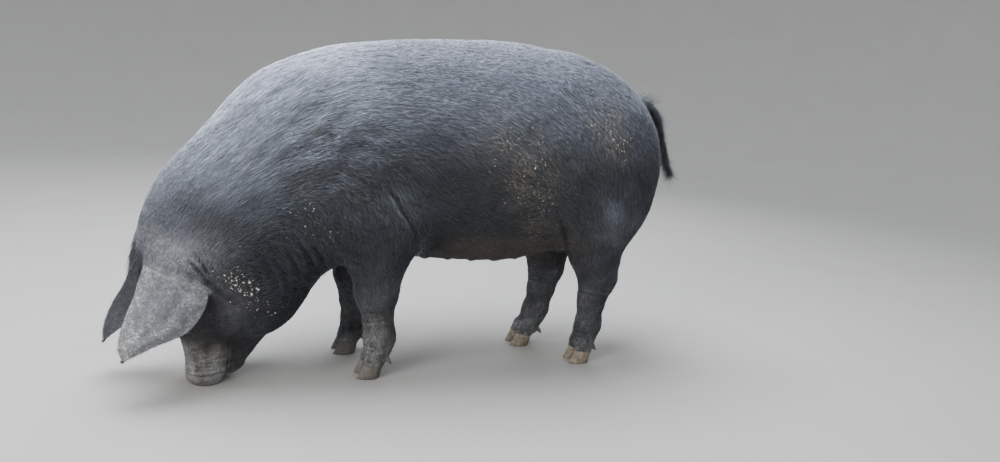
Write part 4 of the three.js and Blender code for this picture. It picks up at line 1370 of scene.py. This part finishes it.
def make_coat(material):
    """Tufts spread evenly over the skin, by area and by the plan's density."""
    rng = np.random.default_rng(SEED)
    corners = np.concatenate([QUADS[:, [0, 1, 2]], QUADS[:, [0, 2, 3]], TRIANGLES])
    a, b, c = (np.float32(SKIN[corners[:, k]]) for k in range(3))
    area = length(np.cross(b - a, c - a)) / 2
    ear = SKIN_EARS[corners].mean(1)
    weight = np.cumsum(area * coat_plan((a + b + c) / 3, ear)[:, 0])
    count = int(weight[-1])
    face = np.searchsorted(weight, (np.arange(count) + rng.random(count)) * weight[-1] / count)
    face = np.minimum(face, len(corners) - 1)
    u, v = rng.random((2, count))
    u, v = np.where(u + v > 1, 1 - u, u), np.where(u + v > 1, 1 - v, v)
    shares = np.float32(np.stack([1 - u - v, u, v], axis=1))[:, :, None]
    root = (np.stack([a[face], b[face], c[face]], axis=1) * shares).sum(1)
    normal = unit((SKIN_NORMALS[corners[face]] * shares).sum(1))
    ear = ear[face]
    found, leaf_along = regions(root, ear)
    along = lie(root, normal, ear, leaf_along, rng)
    clump = streaks(root, along, 6, 30, 60)
    broad = streaks(root, along, 17, 70, 61)
    tufts = tuft_vertices(root, normal, along, coat_plan(root, ear), ear, clump, rng)
    values = marks(root, normal, ear)
    # Each tuft's tone varies at random and in streaks along the hair; over the neck and shoulder the streaks
    # are stronger, painted highlight and shade on the ripples of the coat.
    wavy = bell(root[:, 0], -200, 260)
    mixed = (0.14 + 0.36 * wavy) * clump + (0.12 + 0.12 * wavy) * broad
    values["shade"] = np.clip(0.6 * rng.beta(1.3, 1.5, count) + 0.16 + mixed, 0, 1)
    caught = 0.45 * rng.random(count) + 0.45 + 0.3 * clump + 0.25 * broad
    values["mud"] = values["mud"] * step(caught, 0.5, 0.9) * 1.25
    for name, mine, place in found:
        faces = [copies(TUFT_FACES, len(mine), len(TUFT_TIP))]
        mine_values = {key: value[mine] for key, value in values.items()}
        coat_piece(name, tufts[mine], faces, material, place[mine], TUFT_TIP, mine_values)


def coat_piece(name, corners, faces, material, place, tip, values):
    """One joined mesh of tufts. Its map OFBake holds a small patch for each tuft, where its root lies."""
    count, each = corners.shape[:2]
    piece = new_piece(name, corners.reshape(-1, 3), faces, material, "coat")
    set_marks(piece.data, {key: np.repeat(value, each) for key, value in values.items()})
    set_marks(piece.data, {"tip": np.tile(tip, count)})
    turn = np.arange(each) * 2.4  # keeps a tuft's corners apart in its patch
    patch = BAKE_PATCH * np.stack([np.cos(turn), np.sin(turn)], axis=1) * (0.4 + 0.6 * tip[:, None])
    uv = np.clip(place, 2 * BAKE_PATCH, 1 - 2 * BAKE_PATCH)[:, None, :] + patch
    uv = uv.reshape(-1, 2)[np.concatenate([f.ravel() for f in faces])]
    piece.data.uv_layers.new(name="OFBake").data.foreach_set("uv", np.float32(uv).ravel())


# ---- Long hair: forelock, tail, ear fringes, lashes and whiskers ---------------------------------
LOCK_SHARES = np.float32([0, 0.18, 0.38, 0.58, 0.8, 1])
LOCK_SIDES = 3


def lock_faces(count):
    """Closed three-sided locks: a base, a tube and a point, with the last corner at the point."""
    rings, sides = len(LOCK_SHARES) - 1, LOCK_SIDES
    index = np.arange(rings * sides).reshape(rings, sides)
    point = np.stack([index[-1], np.roll(index[-1], -1), np.full(sides, rings * sides)], axis=-1)
    triangles = np.vstack([point, index[:1, ::-1]])
    return [copies(faces, count, rings * sides + 1) for faces in (tube(index), triangles)]


def make_locks(material, rng, name, root, normal, along, form, place):
    """Locks that leave the skin along their own way. form is their length and width, how far they hang
    down and how much they wave."""
    long, wide, droop, curl = form
    count = len(root)
    long = long * rng.uniform(0.65, 1.2, count)
    along = unit(along + rng.normal(0, 0.12, along.shape))
    sway = rng.normal(0, curl, along.shape) + np.array([0, 0, -droop])
    wave = rng.normal(0, curl * 0.5, along.shape)
    t = LOCK_SHARES[None, :, None]
    middle = root[:, None] - normal[:, None] * ROOT_DEPTH + long[:, None, None] * (
        along[:, None] * t + sway[:, None] * t**2 + wave[:, None] * np.sin(t * 5) * t * 0.5
    )
    forward = np.gradient(middle, axis=1).reshape(-1, 3)
    side = unit(np.cross(forward, np.repeat(normal + 0.01, len(LOCK_SHARES), axis=0)))
    up = unit(np.cross(side, forward))
    radius = (wide * rng.uniform(0.6, 1.3, count))[:, None] * (1 - LOCK_SHARES**2) / 2
    corners = []
    for k in range(LOCK_SIDES):
        turn = 2 * np.pi * k / LOCK_SIDES
        ring = (side * math.cos(turn) - up * math.sin(turn)).reshape(middle.shape)
        corners.append(middle + ring * radius[:, :, None])
    corners = np.stack(corners, axis=2)
    corners = np.concatenate([corners[:, :-1].reshape(count, -1, 3), middle[:, -1:]], axis=1)
    tip = np.append(np.repeat(LOCK_SHARES[:-1], LOCK_SIDES), 1).astype(np.float32)
    values = marks(root, normal, np.zeros(count, np.float32))
    # Long hair takes less dust and painted light, and less painted sky sheen.
    values["dust"] = values["dust"] * 0.3
    values["sky"] = values["sky"] * 0.3
    values["shade"] = rng.beta(1.6, 2.6, count)
    coat_piece(name, corners, lock_faces(count), material, place, tip, values)


def pick_skin(mask, count, rng):
    """Places on the skin, and its direction there, spread over the vertices of a mask."""
    chosen = rng.choice(np.flatnonzero(mask), count)
    return SKIN[chosen] + rng.normal(0, 0.7, (count, 3)), SKIN_NORMALS[chosen]


def make_long_hair(material):
    rng = np.random.default_rng(SEED + 1)
    grow = partial(make_locks, material, rng)
    x, y, z = SKIN.T
    back, across, up = to_head(SKIN).T

    # The forelock falls from the poll, between the ears.
    mask = (np.abs(across + 4) < 50) & (up > 352) & (up < 425) & (back < -120) & (SKIN_EARS < 0.2)
    root, normal = pick_skin(mask, 1100, rng)
    along = unit(normal * 0.16 + np.array([-0.05, 0, -1.0]))
    grow("mane", root, normal, along, (52, 1.0, 0.1, 0.06), head_place(root))

    # The tail carries hair along its lower part, longest at its end.
    places = 60
    middle = spline(TAIL, np.linspace(0, 1, places))
    near = np.flatnonzero((x > 915) & (z < 815))
    gap = np.linalg.norm(SKIN[near, None] - middle[None], axis=2)
    share = gap.argmin(1) / (places - 1)
    near, share = near[gap.min(1) < 24], share[gap.min(1) < 24]
    weight = 0.25 + share**2 * 2
    chosen = rng.choice(len(near), 1900, p=weight / weight.sum())
    root, normal, share = SKIN[near[chosen]], SKIN_NORMALS[near[chosen]], share[chosen]
    down = unit(np.gradient(middle, axis=0))[np.int32(share * (places - 1))]
    along = unit(down + normal * 0.5 - np.array([0.42, 0, 0]))
    grow("tail_tuft", root, normal, along, (30 + 8 * share**2, 0.7, 0.1, 0.33), tail_place(root))

    # A thin spray of hair stands up where the tail leaves the rump.
    mask = (x > 850) & (x < 915) & (z > 805) & (np.abs(y) < 22)
    root, normal = pick_skin(mask, 200, rng)
    along = unit(normal * 0.5 + np.array([0.8, 0, 0.25]))
    grow("tail_spray", root, normal, along, (46, 0.6, 0.1, 0.12), tail_place(root))

    # A sparse fringe stands along the rims of the ears.
    for side, ear in zip(SIDES, EARS):
        rim = np.flatnonzero((np.abs(ear.across) > 0.98) & (ear.share > 0.15) | (ear.share > 0.985))
        chosen = rng.choice(rim, 700)
        row = chosen // EAR_COLUMNS * EAR_COLUMNS
        outwards = unit(ear.points[row + EAR_COLUMNS - 1] - ear.points[row] + 1e-3)
        outwards *= np.sign(ear.across[chosen])[:, None]
        along = unit(ear.along[chosen] + outwards * 0.45 * (ear.share[chosen, None] < 0.97))
        root = ear.points[chosen] + rng.normal(0, 0.8, (len(chosen), 3))
        place = np.stack([ear.share[chosen] / 2, (ear.across[chosen] + 1) / 2], axis=1)
        grow(f"ear_{side}_fringe", root, ear.out[chosen], along, (8, 0.45, 0.1, 0.1), place)

    # Lashes in two rows on the upper lid, which is the one towards the forehead.
    for eye in EYES:
        upper = -np.sign(eye.axes[1] @ np.array([1, 0, 0]))
        t = np.tile(np.linspace(-0.86, 0.86, 30), 2)
        row = np.repeat([0.4, 1.5], 30)
        u, v = t * EYE_SLIT["half_long"], upper * (EYE_SLIT["half_wide"] * (1 - t**2) + row)
        w = np.sqrt((EYE_RADIUS + EYE_SLIT["lid"]) ** 2 - u**2 - v**2)
        root = np.stack([u, v, w], axis=1) @ eye.axes + eye.at
        normal = unit(root - eye.at)
        along = unit(normal + eye.axes[1] * upper * 0.5 + eye.axes[0] * t[:, None] * 0.3)
        grow(f"{eye.name}_lashes", root, normal, along, (12, 0.5, 0.3, 0.05), head_place(root))

    # Whiskers on the muzzle and the chin.
    root, normal = pick_skin((up > 34) & (up < 110) & (x < HEAD_CUT), 150, rng)
    along = unit(normal + np.array([0, 0, 0.8]))
    grow("whiskers", root, normal, along, (15, 0.4, 0.1, 0.06), head_place(root))


# ---- Crumbs of dry mud --------------------------------------------------------------------------
# Lines in side view with the reach round each, on the left side; then how many crumbs and their size.
CRUMB_GROUPS = [
    ((-350, 326), (-300, 290), 20, 26, 2.3),  # cheek
    ((-350, 326), (-256, 232), 24, 110, 1.1),
    ((-190, 500), (-115, 440), 26, 60, 1.0),  # shoulder
    ((340, 690), (440, 560), 64, 950, 0.7),  # flank
    ((615, 790), (660, 700), 42, 420, 0.7),  # thigh
]
STRAY_CRUMBS = 260
CRUMB_SIDES = 5


def crumb_roots(rng):
    """Where each crumb sits on the skin, by vertex, and its size."""
    chosen, sizes = [], []
    for start, end, reach, count, size in CRUMB_GROUPS:
        _, gap = beside(SKIN[:, [0, 2]], np.array(start, float), np.array(end, float))
        weight = bell(gap, 0, reach) * (SKIN[:, 1] < -90) * (1 - SKIN_EARS)
        chosen.append(rng.choice(len(SKIN), count, p=weight / weight.sum()))
        sizes.append(size * np.exp(rng.normal(0, 0.42, count)))
    chosen.append(rng.choice(np.flatnonzero(SKIN[:, 2] > 60), STRAY_CRUMBS))
    sizes.append(0.75 * np.exp(rng.normal(0, 0.35, STRAY_CRUMBS)))
    return np.concatenate(chosen), np.clip(np.concatenate(sizes), 0.4, 3.2)[:, None]


def make_crumbs(material):
    """Small flat lumps caught in the coat, one joined mesh."""
    rng = np.random.default_rng(SEED + 2)
    chosen, size = crumb_roots(rng)
    count = len(chosen)
    up = SKIN_NORMALS[chosen]
    at = SKIN[chosen] + rng.normal(0, 1.2, (count, 3)) + up * rng.uniform(1.0, 3.4, (count, 1))
    across = unit(np.cross(up, rng.normal(size=up.shape)))
    ahead = np.cross(up, across)
    corners = [at + up * size * 0.4, at - up * size * 0.4]
    for angle in np.linspace(0, 2 * np.pi, CRUMB_SIDES, endpoint=False):
        reach = size * rng.uniform(0.5, 1.1, (count, 1))
        corners.append(at + (across * math.cos(angle) * 1.5 + ahead * math.sin(angle)) * reach)
    ring = np.arange(CRUMB_SIDES) + 2
    after = np.roll(ring, -1)
    faces = np.vstack([np.stack([ring, after, ring * 0], -1), np.stack([after, ring, ring * 0 + 1], -1)])
    vertices = np.stack(corners, axis=1).reshape(-1, 3)
    new_piece("mud_crumbs", vertices, [copies(faces, count, CRUMB_SIDES + 2)], material, "coat")


def crumb_material():
    n = Nodes("dry_mud")
    made = n.mix(n.spread(n.noise(60, 2), 0.35, 0.65), (0.30, 0.26, 0.18), (0.68, 0.65, 0.56))
    n.bump(n.noise(900, 3), 0.0004)
    n.set(base_color=made, roughness=0.9)
    return n.material


# ---- Camera, floor and light --------------------------------------------------------------------
FOCAL_SHARE = 0.751  # focal length as a share of the frame's width
CAMERA_AT = (-413.3, -2105.8, 865.2)  # in the pig's frame
CAMERA_TURN = {"heading": 22.0, "down": 11.5, "roll": 4.9}
LIGHTS = [  # name, place in the row frame, size, watts and tint; each shines at the pig's middle
    ("sky", (-0.5, 0.3, 3.6), 2.8, 375, (0.93, 0.96, 1.0)),
    ("front", (-3.2, -2.2, 2.0), 2.0, 165, (1.0, 0.98, 0.96)),
    ("behind", (1.6, 3.0, 2.4), 2.2, 40, (0.97, 0.98, 1.0)),
]
LIT_POINT = (0, 0, 0.4)
SKY = {"tint": (0.9, 0.93, 0.97), "strength": 1.15}


def make_camera():
    heading, down, roll = (math.radians(CAMERA_TURN[k]) for k in ("heading", "down", "roll"))
    turn = Matrix.Rotation(-heading, 4, "Z") @ Matrix.Rotation(math.pi / 2 - down, 4, "X")
    turn = turn @ Matrix.Rotation(roll, 4, "Z")
    camera = bpy.data.objects.new("camera", bpy.data.cameras.new("camera"))
    camera.matrix_world = Matrix.Translation(to_row(CAMERA_AT)) @ turn
    camera.data.lens = camera.data.sensor_width * FOCAL_SHARE
    bpy.context.scene.collection.objects.link(camera)
    bpy.context.scene.camera = camera


def make_light(name, at, size, watts, tint):
    light = bpy.data.objects.new(name, bpy.data.lights.new(name, "AREA"))
    light.data.shape = "DISK"
    light.data.size, light.data.energy, light.data.color = size, watts, tint
    light.location = at
    light.rotation_euler = (Vector(at) - Vector(LIT_POINT)).to_track_quat("Z", "Y").to_euler()
    bpy.context.scene.collection.objects.link(light)


def make_studio():
    """A pale floor that turns up into a wall far behind, under soft light from above."""
    flat, curve, around = 5.0, 4.0, 96
    bend = np.radians(np.linspace(0, 80, 17))
    angle = np.linspace(0, 2 * np.pi, around, endpoint=False)
    rings = []
    for r, z in [(1, 0), (2.5, 0), *zip(flat + curve * np.sin(bend), curve * (1 - np.cos(bend)))]:
        rings.append(np.stack([r * np.cos(angle), r * np.sin(angle), angle * 0 + z], -1))
    index = np.arange(len(rings) * around).reshape(-1, around)
    quads = tube(index)[:, [0, 3, 2, 1]]
    fan = np.stack([index[0], np.roll(index[0], -1), np.full(around, index.size)], axis=-1)
    mesh = bpy.data.meshes.new("floor")
    mesh.from_pydata([*np.concatenate(rings).tolist(), (0, 0, 0)], [], quads.tolist() + fan.tolist())
    mesh.polygons.foreach_set("use_smooth", [True] * len(mesh.polygons))
    mesh.materials.append(floor_material())
    floor = bpy.data.objects.new("floor", mesh)
    bpy.context.scene.collection.objects.link(floor)
    for light in LIGHTS:
        make_light(*light)
    world = bpy.data.worlds.new("studio")
    world.use_nodes = True
    background = world.node_tree.nodes["Background"]
    background.inputs["Color"].default_value = colour(SKY["tint"])
    background.inputs["Strength"].default_value = SKY["strength"]
    bpy.context.scene.world = world


# ---- The pig ------------------------------------------------------------------------------------
# The skin comes first, because the coat, the long hair and the crumbs stand on it.
make_camera()
make_studio()
SKIN, QUADS, TRIANGLES, GRIDS = make_skin()
SKIN_NORMALS = normals_of(SKIN, QUADS)
SKIN_EARS = ear_share(SKIN)
SKIN_PIECE = new_piece("skin", SKIN, [QUADS, TRIANGLES], skin_material(), "coat", FLESH_NODES)
set_marks(SKIN_PIECE.data, marks(np.float32(SKIN), SKIN_NORMALS, SKIN_EARS))
# The skin takes a low tone, so it carries less painted sky sheen than the coat.
set_marks(SKIN_PIECE.data, {"shade": np.full(len(SKIN), 0.3)})
make_feet()
for EYE in EYES:
    make_eye(EYE)
COAT = coat_material()
make_coat(COAT)
make_long_hair(COAT)
make_crumbs(crumb_material())
